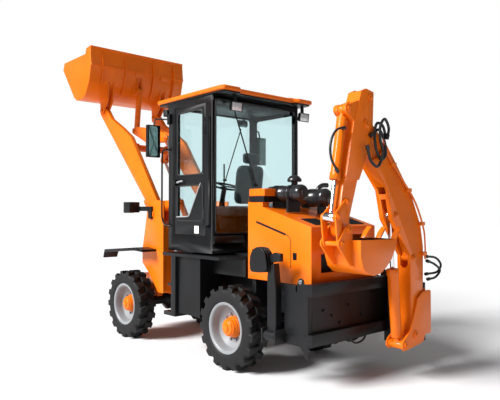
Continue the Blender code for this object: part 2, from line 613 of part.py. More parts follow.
crank_side = [(-2.05, 2.86), (-1.92, 2.80), (-1.62, 2.665), (-1.50, 2.665), (-1.14, 2.65),
              (-1.09, 2.70), (-1.13, 2.755), (-1.42, 2.86), (-1.62, 2.90), (-1.96, 2.95), (-2.05, 2.93)]
half = CRANK_HALF - PIN_GAP
piece("bellcrank", ORANGE, "bellcrank",
      [prism("X", crank_side, -half, half)],
      [box((-EYE_IN - PIN_GAP, -2.2, 2.6), (EYE_IN + PIN_GAP, -1.86, 3.1)),
       box((-EYE_IN - PIN_GAP, -1.30, 2.5), (EYE_IN + PIN_GAP, -1.0, 2.9))])
piece("tilt_link", ORANGE, "tilt_link",
      [prism("X", link(CRANK_FRONT, 0.045, TILT_LUG, 0.045), -EYE_IN + 0.0005, EYE_IN - 0.0005)])
ram("tilt", x_point(TILT_FOOT), x_point(CRANK_REAR), (1, 0, 0), 0.0495, EYE_IN - PIN_GAP, 0.042,
    0.024, 0.93)
for side, sign in (("left", 1), ("right", -1)):
    ram(f"lift_{side}", x_point(LIFT_FOOT, sign * LIFT_X), x_point(LIFT_EYE, sign * LIFT_X), (1, 0, 0),
        0.0455, EYE_IN - PIN_GAP, 0.045, 0.022, 0.89)

# ---------------------------------------------------------------- loader bucket
BUCKET_HALF = 0.803
BUCKET_WALL = 0.018
bucket_out = [(-2.88, 3.86), (-2.48, 3.37), (-2.40, 3.32), (-2.30, 3.305), (-2.16, 3.33), (-2.10, 3.37),
              (-1.985, 3.55), (-1.925, 3.80), (-1.95, 4.06), (-2.09, 4.04), (-2.11, 3.965), (-2.84, 3.965)]
bucket_in = [(-3.00, 4.04), (-2.475, 3.40), (-2.40, 3.345), (-2.30, 3.325), (-2.175, 3.35),
             (-2.12, 3.385), (-2.003, 3.555), (-1.945, 3.80), (-1.972, 4.20), (-3.00, 4.20)]
bucket_solids = [prism("X", bucket_out, -BUCKET_HALF, BUCKET_HALF)]
ear_arm = [*arc(BUCKET_PIN, 0.055, 150, 330, 6), (-2.00, 3.30), (-1.97, 3.56), (-2.02, 3.60), (-2.16, 3.36),
           (-2.24, 3.335)]
ear_tilt = [(-2.03, 3.44), *arc(TILT_LUG, 0.05, -100, 60, 5), (-1.94, 3.70), (-1.98, 3.62), (-2.06, 3.46)]
for sign in (1, -1):
    for face in (1, -1):
        near = sign * ARM_X + face * (ARM_HALF + PIN_GAP)
        lo, hi = sorted((near, near + face * PLATE))
        bucket_solids.append(prism("X", ear_arm, lo, hi))
for face in (1, -1):
    lo, hi = sorted((face * (EYE_IN + PIN_GAP), face * (EYE_IN + PIN_GAP + PLATE)))
    bucket_solids.append(prism("X", ear_tilt, lo, hi))
piece("loader_bucket", ORANGE, "loader_bucket", bucket_solids,
      [prism("X", bucket_in, -BUCKET_HALF + BUCKET_WALL, BUCKET_HALF - BUCKET_WALL)])

# ---------------------------------------------------------------- rear frame, carriage and swing post
FRAME_HALF = 0.62
RAIL_REAR = 2.19
piece("backhoe_frame", BLACK, "machine",
      [box((-0.745, 2.09, 0.87), (0.66, RAIL_REAR, 0.98)),
       box((-0.745, 2.09, 0.42), (0.66, RAIL_REAR, 0.53)),
       box((-0.745, 2.10, 0.45), (-0.715, RAIL_REAR - 0.02, 0.95)),
       box((-FRAME_HALF, 2.0403, 0.45), (FRAME_HALF, 2.12, 0.93)),
       box((0.60, 1.83, 0.40), (0.645, 2.14, 0.96)),
       box((-0.645, 1.83, 0.40), (-0.60, 2.14, 0.96)),
       box((0.3003, 1.83, 0.40), (0.64, 1.85, 0.86)),
       box((-0.64, 1.83, 0.40), (-0.3003, 1.85, 0.86)),
       box((0.60, 1.655, 0.40), (0.64, 1.86, 0.60)),
       box((-0.64, 1.655, 0.40), (-0.60, 1.86, 0.60)),
       box((0.61, 1.655, 0.40), (0.79, STAB_Y - 0.0755, 0.54)),
       box((0.61, STAB_Y + 0.0755, 0.40), (0.79, 1.8455, 0.54)),
       box((-0.79, 1.655, 0.40), (-0.61, STAB_Y - 0.0755, 0.54)),
       box((-0.79, STAB_Y + 0.0755, 0.40), (-0.61, 1.8455, 0.54))])
LUG = 0.050
piece("carriage", BLACK, "carriage",
      [box((SWING_X - 0.10, RAIL_REAR + GAP, 0.31), (SWING_X + 0.16, RAIL_REAR + 0.06, 1.03)),
       box((SWING_X - 0.10, RAIL_REAR - 0.04, 0.98 + GAP), (SWING_X + 0.16, RAIL_REAR + 0.05, 1.03)),
       box((SWING_X - 0.10, RAIL_REAR - 0.04, 0.31), (SWING_X + 0.16, RAIL_REAR + 0.05, 0.42 - GAP)),
       box((SWING_X - LUG, RAIL_REAR + 0.02, 0.88), (SWING_X + LUG, DIG_Y, 0.93)),
       box((SWING_X - LUG, RAIL_REAR + 0.02, 0.35), (SWING_X + LUG, DIG_Y, 0.40)),
       bar((SWING_X, DIG_Y, 0.35), (SWING_X, DIG_Y, 0.40), LUG, 16),
       bar((SWING_X, DIG_Y, 0.88), (SWING_X, DIG_Y, 0.93), LUG, 16)])
POST_IN = 0.076
POST_OUT = 0.096
post_side = [(-0.69, 0.43), (-0.60, 0.43), (-0.55, 0.36), (-0.46, 0.345),
             *arc(BOOM_CYL_FOOT, 0.055, -110, 60, 5), (-0.34, 0.50),
             (-0.40, 0.66), (-0.46, 0.80), (-0.56, 0.86), (-0.69, 0.86)]
post_solids = [bar((SWING_X, DIG_Y, 0.4005), (SWING_X, DIG_Y, 0.8795), 0.05, 16),
               box((-0.70, DIG_Y - POST_OUT, 0.43), (-0.605, DIG_Y + POST_OUT, 0.85))]
for face in (1, -1):
    lo, hi = sorted((DIG_Y + face * POST_IN, DIG_Y + face * POST_OUT))
    post_solids.append(prism("Y", post_side, lo, hi))
piece("swing_post", ORANGE, "swing_post", post_solids)

# ---------------------------------------------------------------- digging arm
boom_side = [*arc(BOOM_PIN, 0.072, 150, 340, 7), (-0.388, 0.62), (-0.37, 0.80), (-0.365, 1.22), (-0.30, 1.30),
             (-0.068, 1.58), (-0.05, 1.66), (0.0, 1.855), (0.19, 2.05), (0.335, 2.33),
             *arc(DIPPER_PIN, 0.085, -20, 150, 6), (0.14, 2.41), (-0.103, 2.14), (-0.39, 1.81),
             (-0.549, 1.52), (-0.595, 1.30), (-0.59, 0.95), (-0.56, 0.72)]
TIP_HALF = 0.0465
tip = arc(DIPPER_PIN, 0.335, 0, 345, 24)
POCKET = 0.041
pocket = [(-0.40, 1.08), (-0.28, 1.22), (-0.06, 1.72), (0.19, 2.20), (0.245, 2.34), (0.24, 2.7),
          (-0.1, 2.6), (-0.55, 1.75), (-0.56, 1.10)]
piece("boom", ORANGE, "boom",
      [prism("Y", boom_side, DIG_Y - BOOM_HALF, DIG_Y + BOOM_HALF),
       dig_bar(DIPPER_PIN, BOOM_HALF, PIN_R)],
      [prism("Y", tip, DIG_Y + TIP_HALF, DIG_Y + 0.2),
       prism("Y", tip, DIG_Y - 0.2, DIG_Y - TIP_HALF),
       prism("Y", [(-0.50, 1.05), (0.30, 1.35), (0.06, 1.74), (-0.14, 1.80), (-0.20, 1.60),
                   (-0.30, 1.36)],
             DIG_Y - EYE_IN - PIN_GAP, DIG_Y + EYE_IN + PIN_GAP),
       prism("Y", pocket, DIG_Y - POCKET, DIG_Y + POCKET)])
dipper_side = [(0.22, 2.74), (0.24, 2.36), (0.355, 2.09), (0.44, 1.93), (0.555, 1.60),
               *arc(DIG_PIN, 0.062, 200, 340, 5),
               (0.69, 1.60), (0.645, 1.84), (0.565, 2.20), (0.50, 2.47), (0.40, 2.73), (0.33, 2.76)]
piece("dipper", ORANGE, "dipper",
      [prism("Y", dipper_side, DIG_Y - BOOM_HALF, DIG_Y + BOOM_HALF),
       prism("Y", [*arc(DIG_CYL_FOOT, 0.048, -60, 110, 5), (0.44, 2.64), (0.48, 2.44)],
             DIG_Y + EYE_IN, DIG_Y + BOOM_HALF - 0.005),
       prism("Y", [*arc(DIG_CYL_FOOT, 0.048, -60, 110, 5), (0.44, 2.64), (0.48, 2.44)],
             DIG_Y - BOOM_HALF + 0.005, DIG_Y - EYE_IN)],
      [prism("Y", [(0.0, 2.95), (0.0, 2.08), (0.405, 2.08), (0.445, 2.44), (0.39, 2.60),
                   (0.36, 2.95)],
             DIG_Y - TIP_HALF - PIN_GAP, DIG_Y + TIP_HALF + PIN_GAP),
       dig_bar(DIPPER_PIN, 0.2, PIN_R + 0.004),
       dig_bar(ROCKER_PIN, 0.2, PIN_R + 0.002),
       box((0.3, DIG_Y + DIPPER_HALF, 1.3), (0.9, DIG_Y + 0.2, 1.93)),
       box((0.3, DIG_Y - 0.2, 1.3), (0.9, DIG_Y - DIPPER_HALF, 1.93))])
LAYER = 0.015
rocker_solids = [dig_bar(ROCKER_PIN, DIPPER_HALF + 0.006, PIN_R - 0.002)]
for face in (1, -1):
    lo, hi = sorted((DIG_Y + face * (DIPPER_HALF + PIN_GAP), DIG_Y + face * (DIPPER_HALF + LAYER)))
    rocker_solids.append(prism("Y", link(ROCKER_PIN, 0.038, ROCKER_END, 0.038), lo, hi))
piece("rocker", ORANGE, "rocker", rocker_solids)
link_in = DIPPER_HALF + LAYER + PIN_GAP
link_solids = []
for face in (1, -1):
    lo, hi = sorted((DIG_Y + face * link_in, DIG_Y + face * (link_in + LAYER)))
    link_solids.append(prism("Y", link(LINK_PIN, 0.035, ROCKER_END, 0.035), lo, hi))
link_solids.append(dig_bar(LINK_PIN, link_in + 0.005, 0.022))
piece("push_link", ORANGE, "push_link", link_solids)
ram("boom", dig_point(BOOM_CYL_FOOT), dig_point(BOOM_CYL_EYE), (0, 1, 0),
    POST_IN - PIN_GAP, EYE_IN, 0.053, 0.022, 0.72)
ram("crowd", dig_point(CROWD_FOOT), dig_point(CROWD_PIN), (0, 1, 0),
    POCKET - PIN_GAP, EYE_IN, 0.034, 0.020, 1.12)
ram("dig", dig_point(DIG_CYL_FOOT), dig_point(ROCKER_END), (0, 1, 0),
    EYE_IN - PIN_GAP, DIPPER_HALF - 0.001, 0.044, 0.020, 0.62)

# digging bucket
DIG_HALF = 0.20
dig_out = [(0.045, 1.40), (0.075, 1.31), (0.13, 1.225), (0.21, 1.155), (0.30, 1.105), (0.39, 1.09),
           (0.48, 1.11), (0.55, 1.165), (0.585, 1.26), (0.585, 1.405)]
dig_in = [(0.00, 1.60), (0.062, 1.40), (0.09, 1.32), (0.142, 1.237), (0.218, 1.17), (0.305, 1.12),
          (0.39, 1.104), (0.472, 1.123), (0.537, 1.173), (0.571, 1.263), (0.571, 1.60)]
dig_ear = [(0.56, 1.18), (0.60, 1.18), *arc(LINK_PIN, 0.05, -60, 60, 4),
           *arc(DIG_PIN, 0.05, 30, 200, 6), (0.56, 1.40)]
dig_solids = [prism("Y", dig_out, DIG_Y - DIG_HALF, DIG_Y + DIG_HALF)]
tooth = [(0.045, 1.405), (0.075, 1.33), (0.095, 1.36), (0.025, 1.46), (-0.035, 1.51), (-0.030, 1.49)]
ear_in = link_in + LAYER + PIN_GAP
ears = []
for face in (1, -1):
    lo, hi = sorted((DIG_Y + face * ear_in, DIG_Y + face * (ear_in + 0.018)))
    ears.append(prism("Y", dig_ear, lo, hi))
teeth = [prism("Y", tooth, DIG_Y + offset - 0.028, DIG_Y + offset + 0.028) for offset in (-0.168, 0.0, 0.168)]
piece("digging_bucket", ORANGE, "digging_bucket", dig_solids + ears + teeth,
      [prism("Y", dig_in, DIG_Y - DIG_HALF + 0.014, DIG_Y + DIG_HALF - 0.014)])

# hoses that loop from the boom's pipes to the dipper
hose_y = DIG_Y + BOOM_HALF + 0.016
piece("arm_hoses", HOSE, "boom",
      [tube([(0.02, hose_y, 2.37), (0.10, hose_y, 2.42), (0.17, hose_y, 2.40), (0.22, hose_y, 2.30),
             (0.24, hose_y, 2.16), (0.20, hose_y, 2.06), (0.14, hose_y, 2.10), (0.12, hose_y, 2.22),
             (0.15, hose_y, 2.34)], 0.014)])

# ---------------------------------------------------------------- stabilizers
for side, sign in (("left", 1), ("right", -1)):
    leg = sorted((sign * 0.6655, sign * 0.745))
    shoe = sorted((sign * 0.69, sign * 0.79))
    piece(f"stabilizer_{side}", BLACK, f"stabilizer_{side}",
          [box((leg[0], STAB_Y - 0.06, STAB_Z), (leg[1], STAB_Y + 0.06, 1.16)),
           bar((sign * STAB_X, STAB_Y - 0.075, STAB_Z), (sign * STAB_X, STAB_Y + 0.075, STAB_Z), 0.055, 16),
           box((shoe[0], STAB_Y - 0.25, 1.06), (shoe[1], STAB_Y + 0.03, 1.31))])

PIVOTS["machine"][0].location = (0, CENTRE_Y, 0)
bpy.context.view_layer.update()
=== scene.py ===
"""Backhoe loader: painted plate, rubber, glass and hoses over the machine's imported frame.

Metres, +Z up, the nose towards -Y and the machine's left side towards +X.
"""
import json
import math

import bmesh
import bpy
import numpy as np
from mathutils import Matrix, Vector


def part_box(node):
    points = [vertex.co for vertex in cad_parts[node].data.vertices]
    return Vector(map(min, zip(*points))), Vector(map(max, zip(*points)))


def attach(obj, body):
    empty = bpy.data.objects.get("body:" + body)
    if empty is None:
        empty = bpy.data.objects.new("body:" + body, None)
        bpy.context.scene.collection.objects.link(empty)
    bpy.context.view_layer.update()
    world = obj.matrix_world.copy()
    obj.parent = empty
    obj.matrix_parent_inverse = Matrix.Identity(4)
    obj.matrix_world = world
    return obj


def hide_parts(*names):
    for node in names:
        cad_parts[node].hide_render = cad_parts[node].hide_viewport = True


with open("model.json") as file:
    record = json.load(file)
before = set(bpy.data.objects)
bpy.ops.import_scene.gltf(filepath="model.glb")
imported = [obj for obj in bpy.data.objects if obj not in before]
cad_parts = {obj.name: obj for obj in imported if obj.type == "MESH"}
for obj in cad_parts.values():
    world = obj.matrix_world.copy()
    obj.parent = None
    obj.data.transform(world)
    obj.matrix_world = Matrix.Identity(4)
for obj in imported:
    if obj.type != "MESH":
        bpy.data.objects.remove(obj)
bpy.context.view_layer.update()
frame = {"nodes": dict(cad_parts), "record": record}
BODY_OF = {node: body for body, nodes in frame["record"]["behaviour"]["bodies"].items()
           for node in nodes}

# ---------------------------------------------------------------- orange body steel
# Folded and welded steel plate, shot-blasted and sprayed with a glossy two-pack enamel.
# The coat is slightly uneven, carries fine dust, and its cut edges are ground round.


def finish(name, colour, roughness, metallic=0.0, tint=0.12, cloud=3.0, grain=400.0, bump=0.06,
           specular=0.5, coat=0.0, coat_roughness=0.03, sheen=0.0):
    """A procedural finish: slow clouds of tint over the colour and a fine grain in relief.

    Colour = colour x (1 - tint x clouds); roughness swings by a fifth with the same clouds.
    """
    made = bpy.data.materials.new(name)
    made.use_nodes = True
    tree = made.node_tree
    shader = tree.nodes["Principled BSDF"]
    place = tree.nodes.new("ShaderNodeTexCoord")
    clouds = tree.nodes.new("ShaderNodeTexNoise")
    clouds.inputs["Scale"].default_value = cloud
    clouds.inputs["Detail"].default_value = 6.0
    tree.links.new(place.outputs["Object"], clouds.inputs["Vector"])
    ramp = tree.nodes.new("ShaderNodeValToRGB")
    ramp.color_ramp.elements[0].position = 0.35
    ramp.color_ramp.elements[1].position = 0.70
    ramp.color_ramp.elements[0].color = (*[c * (1 - tint) for c in colour], 1)
    ramp.color_ramp.elements[1].color = (*colour, 1)
    tree.links.new(clouds.outputs["Fac"], ramp.inputs["Fac"])
    tree.links.new(ramp.outputs["Color"], shader.inputs["Base Color"])
    gloss = tree.nodes.new("ShaderNodeMapRange")
    gloss.inputs["To Min"].default_value = roughness * 0.85
    gloss.inputs["To Max"].default_value = min(1.0, roughness * 1.2)
    tree.links.new(clouds.outputs["Fac"], gloss.inputs["Value"])
    tree.links.new(gloss.outputs["Result"], shader.inputs["Roughness"])
    fine = tree.nodes.new("ShaderNodeTexNoise")
    fine.inputs["Scale"].default_value = grain
    tree.links.new(place.outputs["Object"], fine.inputs["Vector"])
    relief = tree.nodes.new("ShaderNodeBump")
    relief.inputs["Strength"].default_value = bump
    relief.inputs["Distance"].default_value = 0.001
    tree.links.new(fine.outputs["Fac"], relief.inputs["Height"])
    tree.links.new(relief.outputs["Normal"], shader.inputs["Normal"])
    for socket, value in (("Metallic", metallic), ("Specular IOR Level", specular),
                          ("Coat Weight", coat), ("Coat Roughness", coat_roughness),
                          ("Sheen Weight", sheen)):
        shader.inputs[socket].default_value = value
    return made


ORANGE = finish("orange_enamel", (0.84, 0.160, 0.003), 0.32, specular=0.22, coat=0.12,
                coat_roughness=0.12)
BLACK = finish("black_satin_paint", (0.0070, 0.0075, 0.0085), 0.38, tint=0.35, grain=260,
               bump=0.10, specular=0.26)


def placed(name, data):
    """A new object that shows the data, linked into the scene."""
    made = bpy.data.objects.new(name, data)
    bpy.context.scene.collection.objects.link(made)
    return made


def bevelled(made, width, angle):
    """Round a piece's edges by width wherever its faces meet at more than angle, in degrees."""
    edge = made.modifiers.new("ground_edge", "BEVEL")
    edge.width = width
    edge.segments = 2
    edge.limit_method = "ANGLE"
    edge.angle_limit = math.radians(angle)
    return edge


def softened(node, material, width=0.004):
    """A CAD piece with its coplanar triangles merged and its sharp edges rounded by width."""
    mesh = frame["nodes"][node].data.copy()
    shell = bmesh.new()
    shell.from_mesh(mesh)
    bmesh.ops.remove_doubles(shell, verts=shell.verts, dist=0.00002)
    bmesh.ops.dissolve_limit(shell, angle_limit=0.01, verts=shell.verts, edges=shell.edges)
    shell.to_mesh(mesh)
    shell.free()
    mesh.shade_smooth()
    made = placed(node + "_steel", mesh)
    mesh.materials.clear()
    mesh.materials.append(material)
    bevelled(made, width, 35).harden_normals = True
    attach(made, BODY_OF[node])
    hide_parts(node)
    return made


for node in ("hood", "front_chassis", "loader_arms", "bellcrank", "tilt_link", "loader_bucket",
             "boom", "dipper", "rocker", "push_link", "digging_bucket", "swing_post",
             "tilt_barrel", "lift_left_barrel", "lift_right_barrel", "boom_barrel",
             "crowd_barrel", "dig_barrel"):
    softened(node, ORANGE)
for node in ("rear_chassis", "rear_axle", "front_axle", "cab_frame", "cab_door", "fender_left",
             "fender_right", "front_fender_left", "front_fender_right", "carriage"):
    softened(node, BLACK)
for node, width in (("headlight_left", 0.018), ("headlight_right", 0.018), ("mirror_left", 0.010),
                    ("mirror_right", 0.010), ("backhoe_frame", 0.009)):
    softened(node, BLACK, width)


def grid_faces(rows, columns, wrap=True):
    """Quads over a grid of points, joined round the columns when wrap is set."""
    row, column = np.meshgrid(np.arange(rows - 1), np.arange(columns if wrap else columns - 1),
                              indexing="ij")
    onward = (column + 1) % columns
    corners = (row * columns + column, row * columns + onward,
               (row + 1) * columns + onward, (row + 1) * columns + column)
    return np.stack([c.ravel() for c in corners], axis=1)


def frame_about(axis):
    """Two unit vectors square to an axis and to each other."""
    axis = np.asarray(axis, float) / np.linalg.norm(axis)
    spare = np.array([0.0, 0.0, 1.0]) if abs(axis[2]) < 0.9 else np.array([1.0, 0.0, 0.0])
    across = np.cross(spare, axis)
    across /= np.linalg.norm(across)
    return axis, across, np.cross(axis, across)


def turned(profile, centre, axis, steps=32):
    """A profile of (distance along the axis, radius) turned once about the axis."""
    axis, across, up = frame_about(axis)
    along, radius = np.asarray(profile, float).T
    angle = np.linspace(0, 2 * np.pi, steps, endpoint=False)
    round_ = np.cos(angle)[:, None] * across + np.sin(angle)[:, None] * up
    points = (np.asarray(centre) + along[:, None, None] * axis
              + radius[:, None, None] * round_[None])
    return points.reshape(-1, 3), grid_faces(len(along), steps)


def smooth_path(points, per_span=8):
    """A Catmull-Rom curve through the points."""
    points = np.asarray(points, float)
    ends = np.vstack([2 * points[0] - points[1], points, 2 * points[-1] - points[-2]])
    t = np.linspace(0, 1, per_span, endpoint=False)[:, None]
    spans = []
    for a, b, c, d in zip(ends[:-3], ends[1:-2], ends[2:-1], ends[3:]):
        spans.append(0.5 * (2 * b + (c - a) * t + (2 * a - 5 * b + 4 * c - d) * t ** 2
                            + (3 * b - a - 3 * c + d) * t ** 3))
    return np.vstack(spans + [points[-1:]])


def swept(path, radius, sides=12, closed=False):
    """A round section of the given radius carried along a path, its ends capped at a point."""
    path = np.asarray(path, float)
    ahead = np.roll(path, -1, 0) - np.roll(path, 1, 0) if closed else np.gradient(path, axis=0)
    ahead /= np.linalg.norm(ahead, axis=1)[:, None]
    across = np.zeros_like(path)
    across[0] = frame_about(ahead[0])[1]
    for i in range(1, len(path)):
        turned_on = across[i - 1] - ahead[i] * np.dot(across[i - 1], ahead[i])
        across[i] = turned_on / np.linalg.norm(turned_on)
    up = np.cross(ahead, across)
    angle = np.linspace(0, 2 * np.pi, sides, endpoint=False)
    radii = np.broadcast_to(radius, len(path))
    rings = (path[:, None] + radii[:, None, None]
             * (np.cos(angle)[None, :, None] * across[:, None]
                + np.sin(angle)[None, :, None] * up[:, None]))
    if closed:
        rings = np.concatenate([rings, rings[:1]])
    else:
        rings = np.concatenate([np.repeat(path[None, :1], sides, 1).reshape(1, sides, 3), rings,
                                np.repeat(path[None, -1:], sides, 1).reshape(1, sides, 3)])
    return rings.reshape(-1, 3), grid_faces(len(rings), sides)


def plate(outline, axis, lo, hi):
    """A flat outline carried from lo to hi along an axis; its points are in the other two axes."""
    outline = np.asarray(outline, float)
    count = len(outline)
    order = {"X": (1, 2, 0), "Y": (0, 2, 1), "Z": (0, 1, 2)}[axis]
    points = np.zeros((2 * count, 3))
    points[:, order[0]] = np.tile(outline[:, 0], 2)
    points[:, order[1]] = np.tile(outline[:, 1], 2)
    points[:, order[2]] = np.repeat([lo, hi], count)
    ring = np.arange(count)
    sides = np.stack([ring, (ring + 1) % count, (ring + 1) % count + count, ring + count], 1)
    return points, list(sides) + [ring[::-1], ring + count]


def block(lo, hi):
    """A square-cornered block, for a bevel to round."""
    return plate([(lo[0], lo[1]), (hi[0], lo[1]), (hi[0], hi[1]), (lo[0], hi[1])], "Z",
                 lo[2], hi[2])


SHARP = 38                      # faces that meet at more than this, in degrees, keep an edge


def add(name, shapes, material, body, bevel=0.0, replaces=()):
    """One riding piece from several shapes, its doubles merged and its faces turned out."""
    points, faces, start = [], [], 0
    for shape_points, shape_faces in shapes:
        points.append(shape_points)
        faces += [[int(i) + start for i in face] for face in shape_faces]
        start += len(shape_points)
    mesh = bpy.data.meshes.new(name)
    mesh.from_pydata(np.vstack(points).tolist(), [], faces)
    shell = bmesh.new()
    shell.from_mesh(mesh)
    bmesh.ops.remove_doubles(shell, verts=shell.verts, dist=0.00001)
    bmesh.ops.dissolve_degenerate(shell, edges=shell.edges, dist=0.00001)
    bmesh.ops.recalc_face_normals(shell, faces=shell.faces)
    shell.to_mesh(mesh)
    shell.free()
    mesh.shade_smooth()
    mesh.set_sharp_from_angle(angle=math.radians(SHARP))
    mesh.materials.append(material)
    made = placed(name, mesh)
    if bevel:
        bevelled(made, bevel, SHARP)
    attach(made, body)
    if replaces:
        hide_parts(*replaces)
    return made


# ---------------------------------------------------------------- tyres
# Bias-ply tyres moulded in black rubber, with deep staggered bars that run from the middle
# of the tread over the shoulder, and plain side walls with a rim guard.
RUBBER = finish("tyre_rubber", (0.0065, 0.0065, 0.0072), 0.62, tint=0.45, cloud=9, grain=220,
                bump=0.25, specular=0.30)
SHIFT = 0.100                   # the articulation pin stands this far behind the middle
AXLE = 1.05                     # from the articulation pin to each axle
SIDES = (("left", 1), ("right", -1))
ENDS = (("front", SHIFT - AXLE), ("rear", SHIFT + AXLE))
HUB_HEIGHT = 0.4362
TREAD_RADIUS = 0.436
TREAD_MIDDLE = 0.636
TREAD_HALF = 0.120
BAR_COUNT = 17
TYRE_WALL = [(0.5200, 0.252), (0.5185, 0.275), (0.5165, 0.300), (0.5155, 0.340), (0.5170, 0.372),
             (0.5240, 0.392), (0.5360, 0.402), (0.5560, 0.4045), (0.5900, 0.4055), (0.6325, 0.4060),
             (0.6750, 0.4055), (0.7100, 0.4045), (0.7310, 0.402), (0.7440, 0.392), (0.7520, 0.372),
             (0.7560, 0.340), (0.7540, 0.300), (0.7480, 0.280), (0.7420, 0.272), (0.7380, 0.262),
             (0.7310, 0.252)]


def tyre(name, side, y):
    """Radius = wall profile raised to the tread's radius wherever a bar is on. A bar is on when
    its phase round the tyre is near one half; the phase leans with the distance from the tread's
    middle, and the two halves are half a pitch apart. Bars fade out down the shoulder."""
    wall = np.asarray(TYRE_WALL)
    length = np.concatenate([[0], np.cumsum(np.linalg.norm(np.diff(wall, axis=0), axis=1))])
    fine = np.linspace(0, length[-1], 64)
    along = np.interp(fine, length, wall[:, 0])
    radius = np.interp(fine, length, wall[:, 1])
    angle = np.linspace(0, 2 * np.pi, 408, endpoint=False)
    middle = (along - TREAD_MIDDLE) / TREAD_HALF
    lean = 0.34 * np.abs(middle)[:, None]
    phase = (BAR_COUNT * angle / (2 * np.pi) + lean + 0.5 * (middle[:, None] > 0)) % 1.0
    on = np.clip((0.27 - np.abs(phase - 0.5)) / 0.045, 0, 1)
    on *= np.clip((np.abs(middle)[:, None] + 0.16) / 0.05, 0, 1)
    tread = np.clip((radius - 0.350) / 0.045, 0, 1)[:, None]
    shoulder = np.clip((radius[:, None] - 0.36) / 0.03, 0, 1)
    swell = radius[:, None] + on * tread * (TREAD_RADIUS - radius)[:, None] * shoulder
    x = side * np.broadcast_to(along[:, None], swell.shape)
    points = np.stack([x, y + swell * np.cos(angle), HUB_HEIGHT + swell * np.sin(angle)], -1)
    closed = np.concatenate([points, points[:1]])
    add("tread_" + name, [(closed.reshape(-1, 3), grid_faces(len(closed), len(angle)))], RUBBER,
        BODY_OF["tyre_" + name], replaces=("tyre_" + name,))


for end, y in ENDS:
    for side_name, side in SIDES:
        tyre(f"{end}_{side_name}", side, y)

# ---------------------------------------------------------------- rims
# Two pressed steel discs welded into a rolled rim, painted light grey, with the orange
# planetary hub standing in the dish and a ring of wheel nuts round it.
RIM_GREY = finish("rim_grey_paint", (0.25, 0.26, 0.27), 0.38, tint=0.18, grain=300, bump=0.05)
NUT_STEEL = finish("plated_steel", (0.42, 0.42, 0.43), 0.32, metallic=0.9, tint=0.2)
RIM_SECTION = [(0.5198, 0.2495), (0.5198, 0.232), (0.560, 0.224), (0.600, 0.205), (0.612, 0.150),
               (0.600, 0.118), (0.575, 0.118), (0.575, 0.105), (0.608, 0.112), (0.622, 0.150),
               (0.640, 0.185), (0.652, 0.212), (0.680, 0.224), (0.722, 0.229), (0.738, 0.238),
               (0.7455, 0.250), (0.7455, 0.266), (0.741, 0.270), (0.736, 0.268), (0.7315, 0.2495)]
HUB_SECTION = [(0.575, 0.000), (0.575, 0.117), (0.640, 0.112), (0.648, 0.104), (0.662, 0.104),
               (0.668, 0.098), (0.700, 0.090), (0.704, 0.078), (0.716, 0.076), (0.722, 0.066),
               (0.728, 0.040), (0.738, 0.038), (0.742, 0.028), (0.742, 0.000)]


def hexagon(centre, axis, across, height):
    """A six-sided nut with a chamfered top."""
    section = [(0, 0), (0, across), (height * 0.8, across), (height, across * 0.82), (height, 0)]
    return turned(section, centre, axis, 6)


def nut_ring(hub, side, face, ring, count, start, across, height):
    """Nuts evenly spaced on a circle about a hub, from the angle start, at face along the axle."""
    return [hexagon(hub + [side * face, ring * math.cos(a), ring * math.sin(a)], np.array([side, 0, 0]),
                    across, height)
            for a in np.linspace(start, start + 2 * np.pi, count, endpoint=False)]


for end, y in ENDS:
    for side_name, side in SIDES:
        body = BODY_OF[f"rim_{end}_{side_name}"]
        hub = np.array([0, y, HUB_HEIGHT])
        axis = np.array([side, 0, 0])
        add(f"rim_disc_{end}_{side_name}", [turned(RIM_SECTION + RIM_SECTION[:1], hub, axis, 96)],
            RIM_GREY, body, replaces=(f"rim_{end}_{side_name}",))
        add(f"hub_{end}_{side_name}", [turned(HUB_SECTION, hub, axis, 64)], ORANGE, body)
        nuts = nut_ring(hub, side, 0.617, 0.140, 10, 0.0, 0.014, 0.022)
        nuts += nut_ring(hub, side, 0.666, 0.084, 8, 0.3, 0.008, 0.034)
        add(f"nuts_{end}_{side_name}", nuts, NUT_STEEL, body)

# ---------------------------------------------------------------- cylinder rods
# Ground and hard-chromed bar.
CHROME = finish("hard_chrome", (0.80, 0.80, 0.82), 0.10, metallic=1.0, tint=0.06, grain=90, bump=0.01)
for node in ("tilt_rod", "lift_left_rod", "lift_right_rod", "boom_rod", "crowd_rod", "dig_rod"):
    softened(node, CHROME, 0.002)

# ---------------------------------------------------------------- cab glass
# Toughened panes with a green-blue body tint, bonded over the cab's rails with black ceramic rims.
GLASS = bpy.data.materials.new("tinted_glass")
GLASS.use_nodes = True
for socket, value in (("Base Color", (0.80, 0.93, 0.94, 1)), ("Roughness", 0.02),
                      ("Transmission Weight", 1.0), ("IOR", 1.45)):
    GLASS.node_tree.nodes["Principled BSDF"].inputs[socket].default_value = value
for node in ("windshield", "rear_window", "right_window", "door_glass"):
    pane_materials = frame["nodes"][node].data.materials
    pane_materials.clear()
    pane_materials.append(GLASS)

# ---------------------------------------------------------------- pins
# Turned steel pins with a greased bore; each end shows a flanged cap held by one screw.
ARM_PLANE = 2.48 + SHIFT        # middle plane of the digging arm


def cap(face, outward, radius=0.030, depth=0.014):
    """A pin's chamfered end, its flange and the six-sided screw in the middle."""
    face, outward = np.asarray(face, float), np.asarray(outward, float)
    section = [(0, 0), (0, radius * 1.3), (depth * 0.4, radius * 1.3), (depth * 0.45, radius),
               (depth * 0.9, radius), (depth, radius * 0.9), (depth, 0)]
    return [turned(section, face, outward, 28),
            hexagon(face + outward * depth, outward, radius * 0.36, depth * 0.6)]


def caps(name, body, place, half, axis, radius=0.030, material=ORANGE):
    """Both ends of a pin that passes through plates whose outer faces are half apart each way."""
    axis = np.asarray(axis, float)
    ends = cap(np.asarray(place) + axis * half, axis, radius)
    ends += cap(np.asarray(place) - axis * half, -axis, radius)
    add(name, ends, material, body)


